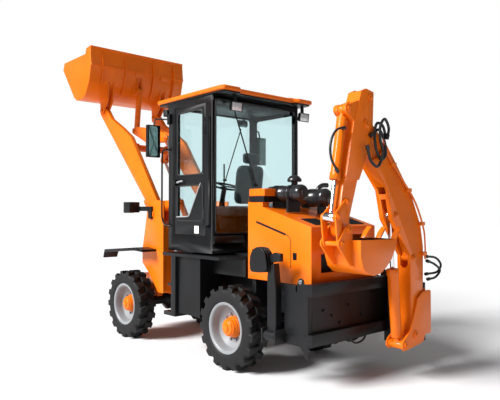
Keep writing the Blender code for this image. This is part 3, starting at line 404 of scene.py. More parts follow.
ACROSS = (1, 0, 0)
ALONG = (0, 1, 0)
for side_name, side in SIDES:
    arm_x, ram_x = side * 0.450, side * 0.280
    caps(f"arm_pin_{side_name}", "front_frame", (arm_x, SHIFT - 0.700, 1.620), 0.085, ACROSS, 0.040)
    caps(f"bucket_pin_{side_name}", "loader_bucket", (arm_x, SHIFT - 2.180, 3.170), 0.0505, ACROSS)
    caps(f"lift_foot_pin_{side_name}", "front_frame", (ram_x, SHIFT - 0.740, 1.060), 0.062, ACROSS)
    caps(f"lift_eye_pin_{side_name}", "loader_arm", (ram_x, SHIFT - 1.660, 2.430), 0.042, ACROSS)
caps("bellcrank_pin", "loader_arm", (0, SHIFT - 1.575, 2.720), 0.072, ACROSS)
caps("link_pin", "bellcrank", (0, SHIFT - 2.010, 2.890), 0.0545, ACROSS, 0.022)
caps("tilt_eye_pin", "bellcrank", (0, SHIFT - 1.150, 2.700), 0.0545, ACROSS, 0.022)
caps("tilt_lug_pin", "loader_bucket", (0, SHIFT - 1.940, 3.500), 0.0455, ACROSS, 0.024)
for name, body, x, z, half, radius in (
        ("boom_pin", "swing_post", -0.420, 0.450, 0.096, 0.036),
        ("boom_foot_pin", "swing_post", -0.240, 0.370, 0.096, 0.026),
        ("boom_eye_pin", "boom", -0.120, 1.620, 0.075, 0.026),
        ("crowd_foot_pin", "boom", -0.420, 1.200, 0.075, 0.026),
        ("dipper_pin", "dipper", 0.330, 2.440, 0.075, 0.036),
        ("crowd_eye_pin", "dipper", 0.275, 2.685, 0.075, 0.026),
        ("dig_foot_pin", "dipper", 0.575, 2.550, 0.070, 0.024),
        ("rocker_pin", "rocker", 0.600, 1.730, 0.070, 0.020),
        ("rocker_end_pin", "push_link", 0.7416, 1.603, 0.0855, 0.020),
        ("push_link_pin", "digging_bucket", 0.716, 1.375, 0.104, 0.022),
        ("curl_pin", "digging_bucket", 0.620, 1.490, 0.104, 0.026)):
    caps(name, body, (x, ARM_PLANE, z), half, ALONG, radius)

# ---------------------------------------------------------------- loader bucket's back
# Welded stiffeners: flat ribs that follow the bucket's curved back, a rolled top lip and
# a cross strip, all in the same plate and paint as the bucket.
BACK_LINE = [(-2.30, 3.305), (-2.16, 3.33), (-2.10, 3.37), (-1.985, 3.55), (-1.925, 3.80),
             (-1.95, 4.05)]


def back_rib(x, half, start, stop, stand):
    """A rib whose inner edge is a stretch of the back line and whose outer edge stands off it."""
    line = smooth_path([(0, y + SHIFT, z) for y, z in BACK_LINE], 6)[start:stop, 1:]
    ahead = np.gradient(line, axis=0)
    off = np.stack([ahead[:, 1], -ahead[:, 0]], 1) / np.linalg.norm(ahead, axis=1)[:, None]
    taper = np.sin(np.linspace(0, np.pi, len(line))) ** 0.3
    outer = line + off * stand * taper[:, None]
    inner = line - off * 0.006
    return plate(np.vstack([inner, outer[::-1]]), "X", x - half, x + half)


ribs = [back_rib(x, 0.008, 14, 30, 0.026) for x in (-0.620, -0.245, 0.245, 0.620)]
ribs += [back_rib(x, 0.070, 22, 25, 0.010) for x in (-0.450, 0.0, 0.450)]
add("bucket_ribs", ribs, ORANGE, "loader_bucket", 0.002)
lip = smooth_path([(x, SHIFT - 1.948, 4.046) for x in (-0.800, -0.4, 0.0, 0.4, 0.800)], 6)
strip = block((-0.800, SHIFT - 1.942, 3.770), (0.800, SHIFT - 1.915, 3.800))
add("bucket_lip", [swept(lip, 0.013, 14)], ORANGE, "loader_bucket")
add("bucket_strip", [strip], ORANGE, "loader_bucket", 0.004)

# ---------------------------------------------------------------- hood fittings
# A moulded black slot and a panel seam run along each side of the hood, and pressed louvres
# let air out of its sloping top. A small shelf stands at the cab's end on a black riser, a dark band that is
# painted shade for the gap under the shelf.
HOOD_FACE = 0.500
HOOD_FRONT = (1.17, 1.755)      # the sloping top's two ends, each (y, z)
HOOD_REAR = (2.04, 1.505)


def sided(side, near, far):
    """The X range between two distances from the middle, on one side of the machine."""
    return sorted((side * near, side * far))


def side_plate(outline, lo, hi):
    """A plate that faces sideways: a (y, z) outline carried from lo to hi along X."""
    return plate([(y + SHIFT, z) for y, z in outline], "X", lo, hi)


def seam(points, width, face, side, proud=0.0015):
    """A ribbon of the given width along a smooth line on the hood's side, edges turned down."""
    line = smooth_path([(0, y + SHIFT, z) for y, z in points], 8)[:, 1:]
    ahead = np.gradient(line, axis=0)
    off = np.stack([-ahead[:, 1], ahead[:, 0]], 1) / np.linalg.norm(ahead, axis=1)[:, None]
    off *= width / 2
    edge = np.vstack([line + off, (line - off)[::-1]])
    return plate(edge, "X", *sided(side, face - 0.002, face + proud))


SLOT_LINE = [(1.27, 1.545), (1.43, 1.500), (1.58, 1.458), (1.70, 1.424)]
SEAM_LINE = [(1.70, 1.424), (1.745, 1.405), (1.766, 1.370), (1.770, 1.30), (1.770, 1.20),
             (1.770, 1.10)]
for side_name, side in SIDES:
    for fitting, line, width in (("slot", SLOT_LINE, 0.022), ("seam", SEAM_LINE, 0.007)):
        add(f"hood_{fitting}_{side_name}", [seam(line, width, HOOD_FACE, side)], BLACK, "machine")
    latch = block((side * HOOD_FACE - 0.006, 1.800 + SHIFT, 1.180),
                  (side * HOOD_FACE + 0.006, 1.850 + SHIFT, 1.250))
    add(f"hood_latch_{side_name}", [latch], BLACK, "machine", 0.004)
shelf = block((0.330, 1.150 + SHIFT, 1.812), (0.494, 1.390 + SHIFT, 1.892))
# The black block under the shelf is painted shade: it stands for the shaded gap beneath the shelf.
shelf_shade_band = block((0.335, 1.155 + SHIFT, 1.750), (0.5005, 1.385 + SHIFT, 1.813))
add("hood_shelf", [shelf], ORANGE, "machine", 0.008)
add("hood_shelf_painted_shade", [shelf_shade_band], BLACK, "machine", 0.004)
SLOPE = (HOOD_REAR[1] - HOOD_FRONT[1]) / (HOOD_REAR[0] - HOOD_FRONT[0])
louvres = []
for row in range(6):
    y = 1.800 + 0.034 * row
    z = HOOD_FRONT[1] + SLOPE * (y - HOOD_FRONT[0])
    fall = SLOPE * 0.020
    blade = [(y, z - 0.004), (y + 0.020, z - 0.004 + fall), (y + 0.020, z + fall + 0.001),
             (y + 0.004, z + 0.010), (y, z + 0.006)]
    for x in (-0.27, 0.27):
        louvres.append(side_plate(blade, x - 0.115, x + 0.115))
add("hood_louvres", louvres, BLACK, "machine", 0.0015)

# ---------------------------------------------------------------- air cleaner and muffler
# Two pressed black canisters lie on the hood: the air cleaner, with its clamp bands, dust cap
# and a mushroom inlet on a stem, and the exhaust muffler with its pipe.
CANISTER = finish("canister_enamel", (0.018, 0.019, 0.021), 0.24, tint=0.35, cloud=8, grain=300,
                  bump=0.05)
CLEANER_SECTION = [(0.000, 0.000), (0.000, 0.052), (0.010, 0.070), (0.022, 0.080), (0.095, 0.083),
                   (0.100, 0.090), (0.118, 0.090), (0.123, 0.083), (0.200, 0.083), (0.206, 0.087),
                   (0.214, 0.087), (0.220, 0.083), (0.300, 0.083), (0.306, 0.088), (0.328, 0.090),
                   (0.336, 0.088), (0.342, 0.080), (0.400, 0.080), (0.406, 0.086), (0.424, 0.090),
                   (0.470, 0.090), (0.490, 0.084), (0.506, 0.070), (0.510, 0.045), (0.520, 0.040),
                   (0.520, 0.000)]
BAND_SECTION = [(0, 0.0835), (0, 0.088), (0.030, 0.088), (0.030, 0.0835), (0, 0.0835)]
CLEANER_X, CLEANER_Z = 0.26, 1.84
CLEANER_STANDS = (1.36, 1.56)
cleaner = turned(CLEANER_SECTION, (CLEANER_X, 1.220 + SHIFT, CLEANER_Z), ALONG, 48)
add("air_cleaner_can", [cleaner], CANISTER, "machine", replaces=("air_cleaner",))
cleaner_stand = [block((0.17, y + SHIFT, 1.645), (0.35, y + 0.030 + SHIFT, 1.780))
                 for y in CLEANER_STANDS]
cleaner_stand += [turned(BAND_SECTION, (CLEANER_X, y + SHIFT, CLEANER_Z), ALONG, 48)
                  for y in CLEANER_STANDS]
add("air_cleaner_stand", cleaner_stand, BLACK, "machine", 0.003)
MUSHROOM = [(0.000, 0.030), (0.100, 0.030), (0.108, 0.042), (0.138, 0.044), (0.146, 0.034),
            (0.168, 0.034), (0.172, 0.070), (0.180, 0.078), (0.196, 0.078), (0.212, 0.070),
            (0.234, 0.050), (0.244, 0.026), (0.250, 0.000)]
INLET_Y = 1.400 + SHIFT
inlet = [turned(MUSHROOM, (0.06, INLET_Y, 1.800), (0, 0, 1), 40)]
elbow = smooth_path([(0.06, INLET_Y, 1.86), (0.06, INLET_Y, 1.815), (0.085, INLET_Y, 1.79),
                     (0.13, INLET_Y, 1.79), (0.20, INLET_Y, 1.80)], 8)
inlet.append(swept(elbow, 0.030, 20))
add("air_inlet", inlet, CANISTER, "machine")
MUFFLER_SECTION = [(0.000, 0.000), (0.000, 0.060), (0.012, 0.084), (0.024, 0.096), (0.040, 0.100),
                   (0.052, 0.096), (0.150, 0.096), (0.156, 0.100), (0.166, 0.100), (0.172, 0.096),
                   (0.180, 0.100), (0.190, 0.100), (0.196, 0.096), (0.204, 0.100), (0.214, 0.100),
                   (0.220, 0.096), (0.330, 0.096), (0.344, 0.100), (0.372, 0.100), (0.392, 0.088),
                   (0.410, 0.060), (0.420, 0.040), (0.420, 0.000)]
muffler = [turned(MUFFLER_SECTION, (-0.14, 1.300 + SHIFT, 1.800), ALONG, 48)]
tail = smooth_path([(-0.14, 1.55 + SHIFT, 1.84), (-0.15, 1.56 + SHIFT, 1.90),
                    (-0.20, 1.57 + SHIFT, 1.935), (-0.27, 1.58 + SHIFT, 1.940)], 8)
muffler.append(swept(tail, 0.026, 18))
add("muffler_can", muffler, CANISTER, "machine", replaces=("muffler",))
stand = [block((-0.20, y + SHIFT, 1.600), (-0.08, y + 0.030 + SHIFT, 1.730)) for y in (1.36, 1.60)]
add("muffler_stand", stand, BLACK, "machine", 0.003)

# ---------------------------------------------------------------- engine
# A cast-iron block with a ribbed sump and a rocker cover, seen through the hood's rear grilles.
IRON = finish("engine_cast_iron", (0.045, 0.046, 0.048), 0.55, metallic=0.5, tint=0.4, cloud=14,
              grain=150, bump=0.3)


def box_corners(node):
    """A CAD node's lowest and highest corners."""
    lo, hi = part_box(node)
    return np.asarray(lo), np.asarray(hi)


softened("engine_block", IRON, 0.010)
engine_lo, engine_hi = box_corners("engine_block")
fins = [block((engine_lo[0] + 0.04, engine_hi[1] - 0.002, z),
              (engine_hi[0] - 0.04, engine_hi[1] + 0.012, z + 0.014))
        for z in np.linspace(engine_lo[2] + 0.10, engine_hi[2] - 0.10, 7)]
add("engine_fins", fins, IRON, "machine", 0.002)

# ---------------------------------------------------------------- rear frame fittings
# Cheek plates with a lug and a spur close the frame's ends, and hexagon bolts stand on the
# back plate between the rails.
CHEEK_LINE = [(1.840, 0.500), (1.840, 0.965), (1.985, 0.965), (1.985, 0.905), (2.005, 0.905),
              (2.005, 0.990), (2.022, 1.022), (2.050, 1.036), (2.078, 1.022), (2.090, 0.985),
              (2.140, 0.985), (2.140, 0.300), (2.110, 0.305), (2.020, 0.440), (2.005, 0.475),
              (1.950, 0.495)]
for side_name, side in SIDES:
    cheek = side_plate(CHEEK_LINE, *sided(side, 0.6455, 0.6590))
    add(f"frame_cheek_{side_name}", [cheek], BLACK, "machine", 0.002)
    caps(f"frame_lug_{side_name}", "machine", (side * 0.652, 2.050 + SHIFT, 1.000), 0.008, ACROSS,
         0.016, NUT_STEEL)
bolts = [hexagon(np.array([x, 2.120 + SHIFT, z]), ALONG, 0.015, 0.014)
         for x, z in ((0.42, 0.72), (0.30, 0.66), (0.05, 0.74), (-0.15, 0.62), (0.18, 0.58))]
add("frame_bolts", bolts, BLACK, "machine")

# ---------------------------------------------------------------- stabilizers
# A square leg on a pinned hub, folded up, with a cast foot of curved fins round a web at its
# end and the ram's lug behind it.
FOOT_LINE = [(1.495, 1.085), (1.487, 1.150), (1.497, 1.225), (1.530, 1.282), (1.590, 1.308),
             (1.655, 1.300), (1.700, 1.262), (1.722, 1.190), (1.735, 1.110), (1.700, 1.072),
             (1.600, 1.062), (1.520, 1.064)]
FOOT_MIDDLE = (1.611, 1.180)
LUG_LINE = [(1.745, 1.160), (1.800, 1.175), (1.870, 1.180), (1.870, 1.255), (1.790, 1.262),
            (1.720, 1.235)]
STAB_Y, STAB_Z = 1.75, 0.47
LEG_LINE = [(STAB_Y - 0.060, 0.455), (STAB_Y - 0.060, 1.020), (STAB_Y - 0.045, 1.120),
            (STAB_Y + 0.030, 1.160), (STAB_Y + 0.045, 1.020), (STAB_Y + 0.060, 0.900),
            (STAB_Y + 0.060, 0.455)]
STAB_HUB_SECTION = [(0, 0), (0, 0.046), (0.006, 0.054), (0.144, 0.054), (0.150, 0.046), (0.150, 0)]


def foot_outline(along, upward):
    """The foot's outline stretched about its middle."""
    return [(FOOT_MIDDLE[0] + (y - FOOT_MIDDLE[0]) * along, FOOT_MIDDLE[1] + (z - FOOT_MIDDLE[1]) * upward)
            for y, z in FOOT_LINE]


for side_name, side in SIDES:
    body = BODY_OF[f"stabilizer_{side_name}"]
    leg = side_plate(LEG_LINE, *sided(side, 0.6655, 0.745))
    add(f"stabilizer_leg_{side_name}", [leg], BLACK, body, 0.007,
        replaces=(f"stabilizer_{side_name}",))
    hub = turned(STAB_HUB_SECTION, (side * 0.735, STAB_Y - 0.075 + SHIFT, STAB_Z), ALONG, 36)
    add(f"stabilizer_hub_{side_name}", [hub], BLACK, body)
    fins = [side_plate(foot_outline(1 + grow * 6, 1 + grow * 3), *sided(side, near, far))
            for near, far, grow in ((0.690, 0.701, 0.0), (0.7195, 0.7305, 0.006),
                                    (0.749, 0.760, 0.006), (0.779, 0.790, 0.0))]
    fins.append(side_plate(foot_outline(0.86, 0.86), *sided(side, 0.695, 0.785)))
    add(f"stabilizer_foot_{side_name}", fins, BLACK, body, 0.003)
    lug = side_plate(LUG_LINE, *sided(side, 0.700, 0.745))
    add(f"stabilizer_lug_{side_name}", [lug], BLACK, body, 0.006)

# ---------------------------------------------------------------- cab roof
# A pressed orange roof whose rear edge steps in between two corner bosses, with a raised
# crown panel and a black moulded lining underneath.
ROOF_BASE = 2.9453
ROOF_LINE = [(-0.665, -0.350), (0.665, -0.350), (0.714, -0.300), (0.718, 0.930), (0.690, 0.982),
             (0.470, 0.984), (0.415, 0.925), (-0.415, 0.925), (-0.470, 0.984), (-0.690, 0.982),
             (-0.718, 0.930), (-0.714, -0.300)]


def roof_plate(shrink, lo, hi):
    """The roof's outline drawn in by shrink each way and carried from lo to hi over its base."""
    line = np.asarray(ROOF_LINE)
    middle = np.array([0.0, 0.317])
    half = np.array([0.718, 0.667])
    drawn = middle + (line - middle) * (half - shrink) / half + [0, SHIFT]
    return plate(drawn, "Z", ROOF_BASE + lo, ROOF_BASE + hi)


add("roof_shell", [roof_plate(0.0, 0.018, 0.068)], ORANGE, "machine", 0.014,
    replaces=("cab_roof",))
add("roof_crown", [roof_plate(0.085, 0.060, 0.084)], ORANGE, "machine", 0.012)
add("roof_lining", [roof_plate(0.022, 0.0, 0.020)], BLACK, "machine", 0.006)

# ---------------------------------------------------------------- work lights
# Die-cast black lamp bodies with a chromed bowl behind a clear ribbed lens.
LENS = finish("lamp_lens", (0.80, 0.82, 0.84), 0.10, metallic=0.4, tint=0.30, cloud=60, coat=1.0)


def lamp(name, place, facing, width, height, depth, body):
    """A tapered lamp box with a bezel, and a lens crowned by 1 - t^4 each way with fine ribs."""
    facing = np.asarray(facing, float) / np.linalg.norm(facing)
    across = np.cross([0.0, 0.0, 1.0], facing)
    across /= np.linalg.norm(across)
    up = np.cross(facing, across)
    place = np.asarray(place, float)

    def ring(share, along):
        """Four corners of the lamp's outline, scaled by share, at a distance along its facing."""
        return [place + across * a * width / 2 * share + up * b * height / 2 * share
                + facing * along for a, b in ((-1, -1), (1, -1), (1, 1), (-1, 1))]

    points = np.array(ring(0.72, -depth) + ring(1.0, -depth * 0.35) + ring(1.0, 0.0)
                      + ring(0.86, 0.0) + ring(0.84, -0.006))
    faces = [[3, 2, 1, 0], [16, 17, 18, 19]]
    for level in range(4):
        for corner in range(4):
            onward = (corner + 1) % 4
            faces.append([level * 4 + corner, level * 4 + onward, level * 4 + 4 + onward,
                          level * 4 + 4 + corner])
    add(name + "_body", [(points, faces)], BLACK, body, 0.004)
    a, b = np.meshgrid(np.linspace(-1, 1, 49), np.linspace(-1, 1, 13), indexing="ij")
    proud = -0.003 + 0.006 * (1 - a ** 4) * (1 - b ** 4) + 0.0010 * np.cos(a * 44)
    spread = (across * (a * width * 0.418)[..., None] + up * (b * height * 0.418)[..., None])
    lens = place + spread + facing * proud[..., None]
    back = place + spread + facing * -0.006
    add(name + "_lens", [(lens.reshape(-1, 3), grid_faces(49, 13, wrap=False)),
                         (back.reshape(-1, 3), grid_faces(49, 13, wrap=False))], LENS, body)


def light_stay(name, x, y_lo, y_hi, low):
    """The flat stay that hangs a work light from the roof's lining."""
    stay = block((x - 0.018, y_lo + SHIFT, low), (x + 0.018, y_hi + SHIFT, 2.946))
    add(name, [stay], BLACK, "machine", 0.003)


for side_name, x in (("left", 0.440), ("right", -0.655)):
    lamp(f"rear_work_light_{side_name}", (x, 0.890 + SHIFT, 2.815), (0, 1, -0.12), 0.165, 0.105,
         0.060, "machine")
    light_stay(f"rear_light_stay_{side_name}", x, 0.835, 0.862, 2.850)
for side_name, x in (("left", 0.600), ("right", -0.600)):
    lamp(f"front_work_light_{side_name}", (x, -0.235 + SHIFT, 2.860), (0, -1, -0.12), 0.150, 0.090,
         0.060, "machine")
    light_stay(f"front_light_stay_{side_name}", x, -0.205, -0.180, 2.885)
for side_name, side in SIDES:
    head_lo, head_hi = box_corners(f"headlight_{side_name}")
    head_middle = (head_lo + head_hi) / 2
    lamp(f"headlight_lens_{side_name}", (head_middle[0], head_lo[1] - 0.001, head_hi[2] - 0.085),
         (0, -1, 0), 0.150, 0.120, 0.020, "front_frame")

# ---------------------------------------------------------------- mirrors
# Silvered plates in the black mirror shells. Their dark green-grey colour, which dims and tints every
# reflection, is a painted reflection and not the colour of silvering.
# The colour below is painted reflection: dark green-grey in place of near-white silvering.
MIRROR_PAINTED_REFLECTION = finish("mirror_painted_reflection", (0.20, 0.27, 0.26), 0.04, metallic=1.0, tint=0.10, cloud=4,
                bump=0.0)
for side_name, side in SIDES:
    shell_lo, shell_hi = box_corners(f"mirror_{side_name}")
    outer = shell_hi[0] if side > 0 else shell_lo[0]
    x_lo, x_hi = sorted((outer - side * 0.012, outer - side * 0.138))
    glass = [(x_lo + 0.02, 2.312), (x_hi - 0.02, 2.312), (x_hi, 2.335), (x_hi, 2.645),
             (x_hi - 0.02, 2.668), (x_lo + 0.02, 2.668), (x_lo, 2.645), (x_lo, 2.335)]
    face = SHIFT - 0.125
    add(f"mirror_glass_{side_name}", [plate(glass, "Y", face - 0.002, face + 0.0015)], MIRROR_PAINTED_REFLECTION,
        "machine", 0.0005)

# ---------------------------------------------------------------- cab trim
# Black rubber gaskets round the panes, a bent-tube grab rail, the door's pull, stay panel and
# a blank data plate, and the struts and wiper on the rear glass.
GASKET = finish("gasket_rubber", (0.012, 0.012, 0.012), 0.65, tint=0.3, grain=500)
TRIM = finish("trim_grey_plastic", (0.34, 0.35, 0.35), 0.45, tint=0.15, grain=350)
LABEL = finish("blank_label", (0.78, 0.78, 0.76), 0.50, tint=0.08, grain=600)
CORNER = 0.05                   # how far a bead's turn reaches along each edge


def loop(corners, radius, sides=8, per=6):
    """A closed bead round some corners, each turned with a short quadratic arc."""
    corners = np.asarray(corners, float)
    t = np.linspace(0, 1, per)[:, None]
    path = []
    for before, here, after in zip(np.roll(corners, 1, 0), corners, np.roll(corners, -1, 0)):
        inward = (before - here) / np.linalg.norm(before - here) * CORNER
        outward = (after - here) / np.linalg.norm(after - here) * CORNER
        path.append((1 - t) ** 2 * (here + inward) + 2 * t * (1 - t) * here
                    + t ** 2 * (here + outward))
    return swept(np.vstack(path), radius, sides, closed=True)


def pane_loop(node, axis, side):
    """A gasket on the outer face of a pane, round its edges."""
    lo, hi = box_corners(node)
    a, b = [i for i in range(3) if i != axis]
    corners = []
    for at_a, at_b in ((lo[a], lo[b]), (hi[a], lo[b]), (hi[a], hi[b]), (lo[a], hi[b])):
        corner = np.zeros(3)
        corner[axis], corner[a], corner[b] = (hi if side > 0 else lo)[axis], at_a, at_b
        corners.append(corner)
    return loop(corners, 0.009)


for node, axis, side in (("windshield", 1, -1), ("rear_window", 1, 1), ("right_window", 0, -1)):
    add(f"{node}_gasket", [pane_loop(node, axis, side)], GASKET, "machine")
DOOR_FACE = 0.680
for name, low, high in (("upper", 2.075, 2.805), ("lower", 1.545, 1.950)):
    corners = [(DOOR_FACE, y + SHIFT, z)
               for y, z in ((0.090, low), (0.580, low), (0.580, high), (0.090, high))]
    add(f"door_gasket_{name}", [loop(corners, 0.008)], GASKET, "cab_door")
panel = [(0.600, 1.985), (0.600, 1.500), (0.080, 1.500), (0.080, 1.585), (0.300, 1.590), (0.330, 1.605),
         (0.355, 1.640), (0.545, 1.960), (0.560, 1.985)]
add("door_panel", [side_plate(panel, 0.676, 0.686)], BLACK, "cab_door", 0.003)
edge_line = [(0.085, 1.590), (0.200, 1.592), (0.300, 1.597), (0.340, 1.620), (0.380, 1.685),
             (0.460, 1.820), (0.550, 1.972)]
edge = smooth_path([(0.688, y + SHIFT, z) for y, z in edge_line], 8)
add("door_panel_edge", [swept(edge, 0.007, 10)], TRIM, "cab_door")
label = [(0.425, 1.405), (0.505, 1.405), (0.505, 1.490), (0.425, 1.490)]
add("door_label", [side_plate(label, 0.680, 0.6812)], LABEL, "cab_door", 0.0003)
rail_line = [(0.675, -0.060, 2.385), (0.700, -0.095, 2.400), (0.706, -0.170, 2.395), (0.707, -0.200, 2.360),
             (0.707, -0.206, 2.200), (0.707, -0.206, 1.900), (0.707, -0.206, 1.640), (0.706, -0.196, 1.560),
             (0.700, -0.160, 1.500), (0.690, -0.100, 1.480), (0.675, -0.060, 1.480)]
rail = smooth_path([(x, y + SHIFT, z) for x, y, z in rail_line], 10)
add("grab_rail", [swept(rail, 0.011, 14)], BLACK, "machine")
pull_line = [(0.682, 0.110, 1.990), (0.705, 0.112, 1.992), (0.716, 0.140, 1.996),
             (0.716, 0.200, 2.003), (0.714, 0.240, 2.006)]
pull = smooth_path([(x, y + SHIFT, z) for x, y, z in pull_line], 8)
add("door_pull", [swept(pull, 0.010, 14)], TRIM, "cab_door")
REAR_PANE = 0.7545 + SHIFT
struts = [swept(np.array([(0.400, REAR_PANE + 0.020, 2.840), (0.052, REAR_PANE + 0.020, 1.960)]),
                0.0085, 12),
          swept(np.array([(0.300, REAR_PANE + 0.040, 2.590), (0.520, REAR_PANE + 0.030, 2.000)]),
                0.0060, 12)]
for x, z, radius, height, tip in ((0.400, 2.840, 0.022, 0.030, 0.034), (0.052, 1.960, 0.018, 0.034, 0.036),
                                  (0.520, 2.000, 0.014, 0.040, 0.042)):
    boss = [(0, 0), (0, radius), (height, radius - 0.002), (tip, 0.0)]
    struts.append(turned(boss, (x, REAR_PANE + 0.002, z), ALONG, 20))
struts.append(block((0.515, REAR_PANE + 0.004, 1.700), (0.528, REAR_PANE + 0.014, 2.180)))
add("rear_wiper", struts, GASKET, "machine")

# ---------------------------------------------------------------- pipes and hoses
# Painted pressure pipes clipped along the boom, and braided rubber hoses where they bend
# round the knuckle and the boom's foot. Both ends of every hose are held by the machine.
HOSE = finish("hose_rubber", (0.014, 0.014, 0.015), 0.48, tint=0.4, cloud=30, grain=700,
              bump=0.3)
REAR_SKIN = ARM_PLANE + 0.075
HOSE_PLANE = ARM_PLANE + 0.095
PIPE_LINE = [(-0.628, 1.180), (-0.630, 1.300), (-0.600, 1.490), (-0.450, 1.750), (-0.200, 1.990),
             (-0.010, 2.170), (0.080, 2.330)]
pipes = []
for offset in (0.0, 0.026):
    path = smooth_path([(x + offset, REAR_SKIN + 0.002 + offset * 0.6, z - offset * 0.3)
                        for x, z in PIPE_LINE], 12)
    pipes.append(swept(path, 0.008, 12))
add("boom_pipes", pipes, ORANGE, "boom")
clips = [block((x - 0.030, REAR_SKIN - 0.03, z - 0.018), (x + 0.045, REAR_SKIN + 0.026, z + 0.018))
         for x, z in ((-0.600, 1.230), (-0.565, 1.530), (-0.330, 1.860), (-0.075, 2.095))]
add("pipe_clips", clips, ORANGE, "boom", 0.004)


def arm_hose(points, radius, plane):
    """A hose along a smooth line in a plane that faces backwards, with a crimped ferrule each end."""
    path = smooth_path([(x, plane, z) for x, z in points], 12)
    shapes = [swept(path, radius, 16)]
    ferrule = [(0, 0), (0, radius * 1.35), (0.008, radius * 1.45), (0.040, radius * 1.45),
               (0.046, radius * 1.2), (0.046, 0)]
    for end, before in ((path[0], path[4]), (path[-1], path[-5])):
        shapes.append(turned(ferrule, end, before - end, 16))
    return shapes


knuckle = arm_hose([(0.060, 2.330), (0.110, 2.440), (0.200, 2.455), (0.235, 2.360), (0.215, 2.220),
                    (0.140, 2.130), (0.070, 2.180), (0.085, 2.300), (0.170, 2.400), (0.300, 2.330)],
                   0.013, HOSE_PLANE)
knuckle += arm_hose([(0.090, 2.320), (0.060, 2.420), (0.120, 2.500), (0.190, 2.430), (0.190, 2.300),
                     (0.150, 2.190), (0.230, 2.060), (0.340, 2.110), (0.390, 2.240)],
                    0.013, HOSE_PLANE + 0.030)
add("knuckle_hoses", knuckle, HOSE, "boom", replaces=("arm_hoses",))
outer = arm_hose([(0.600, 2.380), (0.700, 2.360), (0.770, 2.290), (0.800, 2.190), (0.780, 2.090),
                  (0.700, 1.990)], 0.011, ARM_PLANE + 0.048)
add("dipper_hose", outer, HOSE, "dipper")
foot = arm_hose([(-0.619, 1.200), (-0.780, 1.185), (-0.868, 1.150), (-0.915, 1.090), (-0.830, 1.030),
                 (-0.617, 1.024)], 0.012, HOSE_PLANE - 0.010)
foot += arm_hose([(-0.600, 1.160), (-0.740, 1.120), (-0.850, 1.050), (-0.760, 0.985), (-0.610, 0.975)], 0.012,
                 HOSE_PLANE + 0.016)
add("boom_foot_hoses", foot, HOSE, "boom")
HANG = 0.455                    # height of the clamps that the loops under the frame hang from
under = []
for x, drop, y in ((0.10, 0.09, 2.085), (0.02, 0.12, 2.100), (-0.06, 0.07, 2.070)):
    line = smooth_path([(x - back, y + SHIFT, HANG - drop * share)
                        for back, share in ((0, 0), (0.04, 0.7), (0.13, 1), (0.24, 0.8), (0.30, 0))], 10)
    under.append(swept(line, 0.010, 12))
add("frame_hoses", under, HOSE, "machine")

# ---------------------------------------------------------------- seat
# Foam pads under woven cloth on a black pan: a cushion, a leaning back and a small headrest.
CLOTH = finish("seat_cloth", (0.022, 0.030, 0.034), 0.92, tint=0.3, cloud=60, grain=1500, bump=0.6,
               sheen=0.4)
SWELL = 0.012                   # the furthest that the cloth may move from the pad's own shape
CLOTH_FRAMES = 20


def apply_modifiers(made):
    """Bake a piece's modifiers into its own mesh."""
    solved = made.evaluated_get(bpy.context.evaluated_depsgraph_get())
    mesh = bpy.data.meshes.new_from_object(solved)
    made.modifiers.clear()
    made.data = mesh


def pad(name, lo, hi, lean, node):
    """A pad in a box: a squared-off ball (powers of cosines) pushed back by lean over its height,
    then swollen by a short cloth simulation with inner pressure."""
    lo, hi = np.asarray(lo, float), np.asarray(hi, float)
    centre, half = (lo + hi) / 2, (hi - lo) / 2 - SWELL
    half[1] -= abs(lean) / 2
    rise, turn = np.meshgrid(np.linspace(-np.pi / 2, np.pi / 2, 33),
                             np.linspace(0, 2 * np.pi, 64, endpoint=False), indexing="ij")
    unit = np.stack([np.cos(rise) * np.cos(turn), np.cos(rise) * np.sin(turn), np.sin(rise)], -1)
    points = np.sign(unit) * np.abs(unit) ** 0.35 * half + centre
    points[..., 1] += lean * (points[..., 2] - centre[2]) / (hi[2] - lo[2])
    made = add(name, [(points.reshape(-1, 3), grid_faces(33, 64))], CLOTH, "machine",
               replaces=(node,) if node else ())
    remesh = made.modifiers.new("voxels", "REMESH")
    remesh.mode = "VOXEL"
    remesh.voxel_size = 0.008
    apply_modifiers(made)
    rest = np.empty(len(made.data.vertices) * 3)
    made.data.vertices.foreach_get("co", rest)
    cloth = made.modifiers.new("swell", "CLOTH")
    cloth.settings.use_pressure = True
    cloth.settings.uniform_pressure_force = 4.0
    cloth.settings.effector_weights.gravity = 0.0
    scene = bpy.context.scene
    for frame_number in range(1, CLOTH_FRAMES + 1):
        scene.frame_set(frame_number)
    apply_modifiers(made)
    swollen = np.empty_like(rest)
    made.data.vertices.foreach_get("co", swollen)
    moved = (swollen - rest).reshape(-1, 3)
    far = np.linalg.norm(moved, axis=1)[:, None]
    moved *= np.minimum(1.0, SWELL / np.maximum(far, 1e-9))
    made.data.vertices.foreach_set("co", rest + moved.ravel())
    scene.frame_set(1)
    made.data.shade_smooth()


cushion_lo, cushion_hi = box_corners("seat_cushion")
pad("seat_pad", cushion_lo, cushion_hi, 0.0, "seat_cushion")
back_lo, back_hi = box_corners("seat_back")
pad("seat_back_pad", back_lo, (back_hi[0], back_hi[1], back_hi[2] - 0.14), 0.070, "seat_back")
pad("seat_headrest", (-0.130, back_hi[1] - 0.095, back_hi[2] - 0.150),
    (0.130, back_hi[1] - 0.005, back_hi[2] - 0.005), 0.0, None)

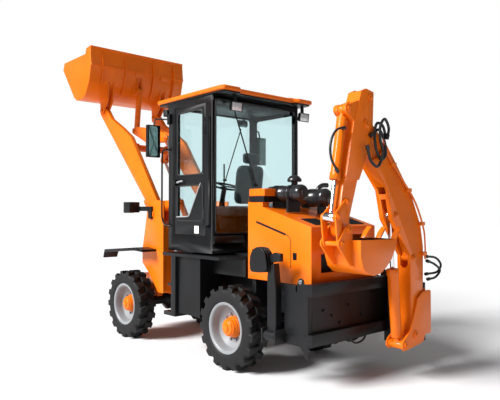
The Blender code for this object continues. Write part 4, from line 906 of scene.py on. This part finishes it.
# ---------------------------------------------------------------- camera, floor and light
# A pale studio floor, one broad soft key high on the machine's left, and an even pale surround.
camera_data = bpy.data.cameras.new("camera")
camera_data.lens = 40.74
camera_data.sensor_width = 36.0
camera = placed("camera", camera_data)
camera.location = (4.492, 5.643 + SHIFT, 1.646)
camera.rotation_euler = Vector((-0.6658, -0.7458, 0.0214)).to_track_quat("-Z", "Y").to_euler()
bpy.context.scene.camera = camera

FLOOR_HALF = 60
floor_mesh = bpy.data.meshes.new("floor")
floor_mesh.from_pydata([(x * FLOOR_HALF, y * FLOOR_HALF, 0) for x, y in ((-1, -1), (1, -1), (1, 1), (-1, 1))],
                       [], [(0, 1, 2, 3)])
floor = placed("floor", floor_mesh)
PALE = bpy.data.materials.new("pale_floor")
PALE.use_nodes = True
pale_shader = PALE.node_tree.nodes["Principled BSDF"]
pale_shader.inputs["Base Color"].default_value = (0.78, 0.78, 0.79, 1)
pale_shader.inputs["Roughness"].default_value = 0.75
floor_mesh.materials.append(PALE)

key_data = bpy.data.lights.new("key", "SUN")
key_data.energy = 6.6
key_data.angle = math.radians(24)
key = placed("key", key_data)
key.rotation_euler = Vector((-0.78, 0.22, -0.58)).to_track_quat("-Z", "Y").to_euler()

world = bpy.data.worlds.new("studio")
bpy.context.scene.world = world
world.use_nodes = True
sky = world.node_tree
surround = sky.nodes["Background"]
surround.inputs["Color"].default_value = (1, 1, 1, 1)
# Seen directly or through glass the surround is white; as a light it is dimmer.
seen = sky.nodes.new("ShaderNodeLightPath")
direct = sky.nodes.new("ShaderNodeMath")
direct.operation = "MAXIMUM"
sky.links.new(seen.outputs["Is Camera Ray"], direct.inputs[0])
sky.links.new(seen.outputs["Is Transmission Ray"], direct.inputs[1])
level = sky.nodes.new("ShaderNodeMapRange")
level.inputs["To Min"].default_value = 0.24
level.inputs["To Max"].default_value = 1.00
sky.links.new(direct.outputs[0], level.inputs["Value"])
sky.links.new(level.outputs["Result"], surround.inputs["Strength"])
bpy.context.scene.view_settings.view_transform = "Standard"

bpy.context.view_layer.update()
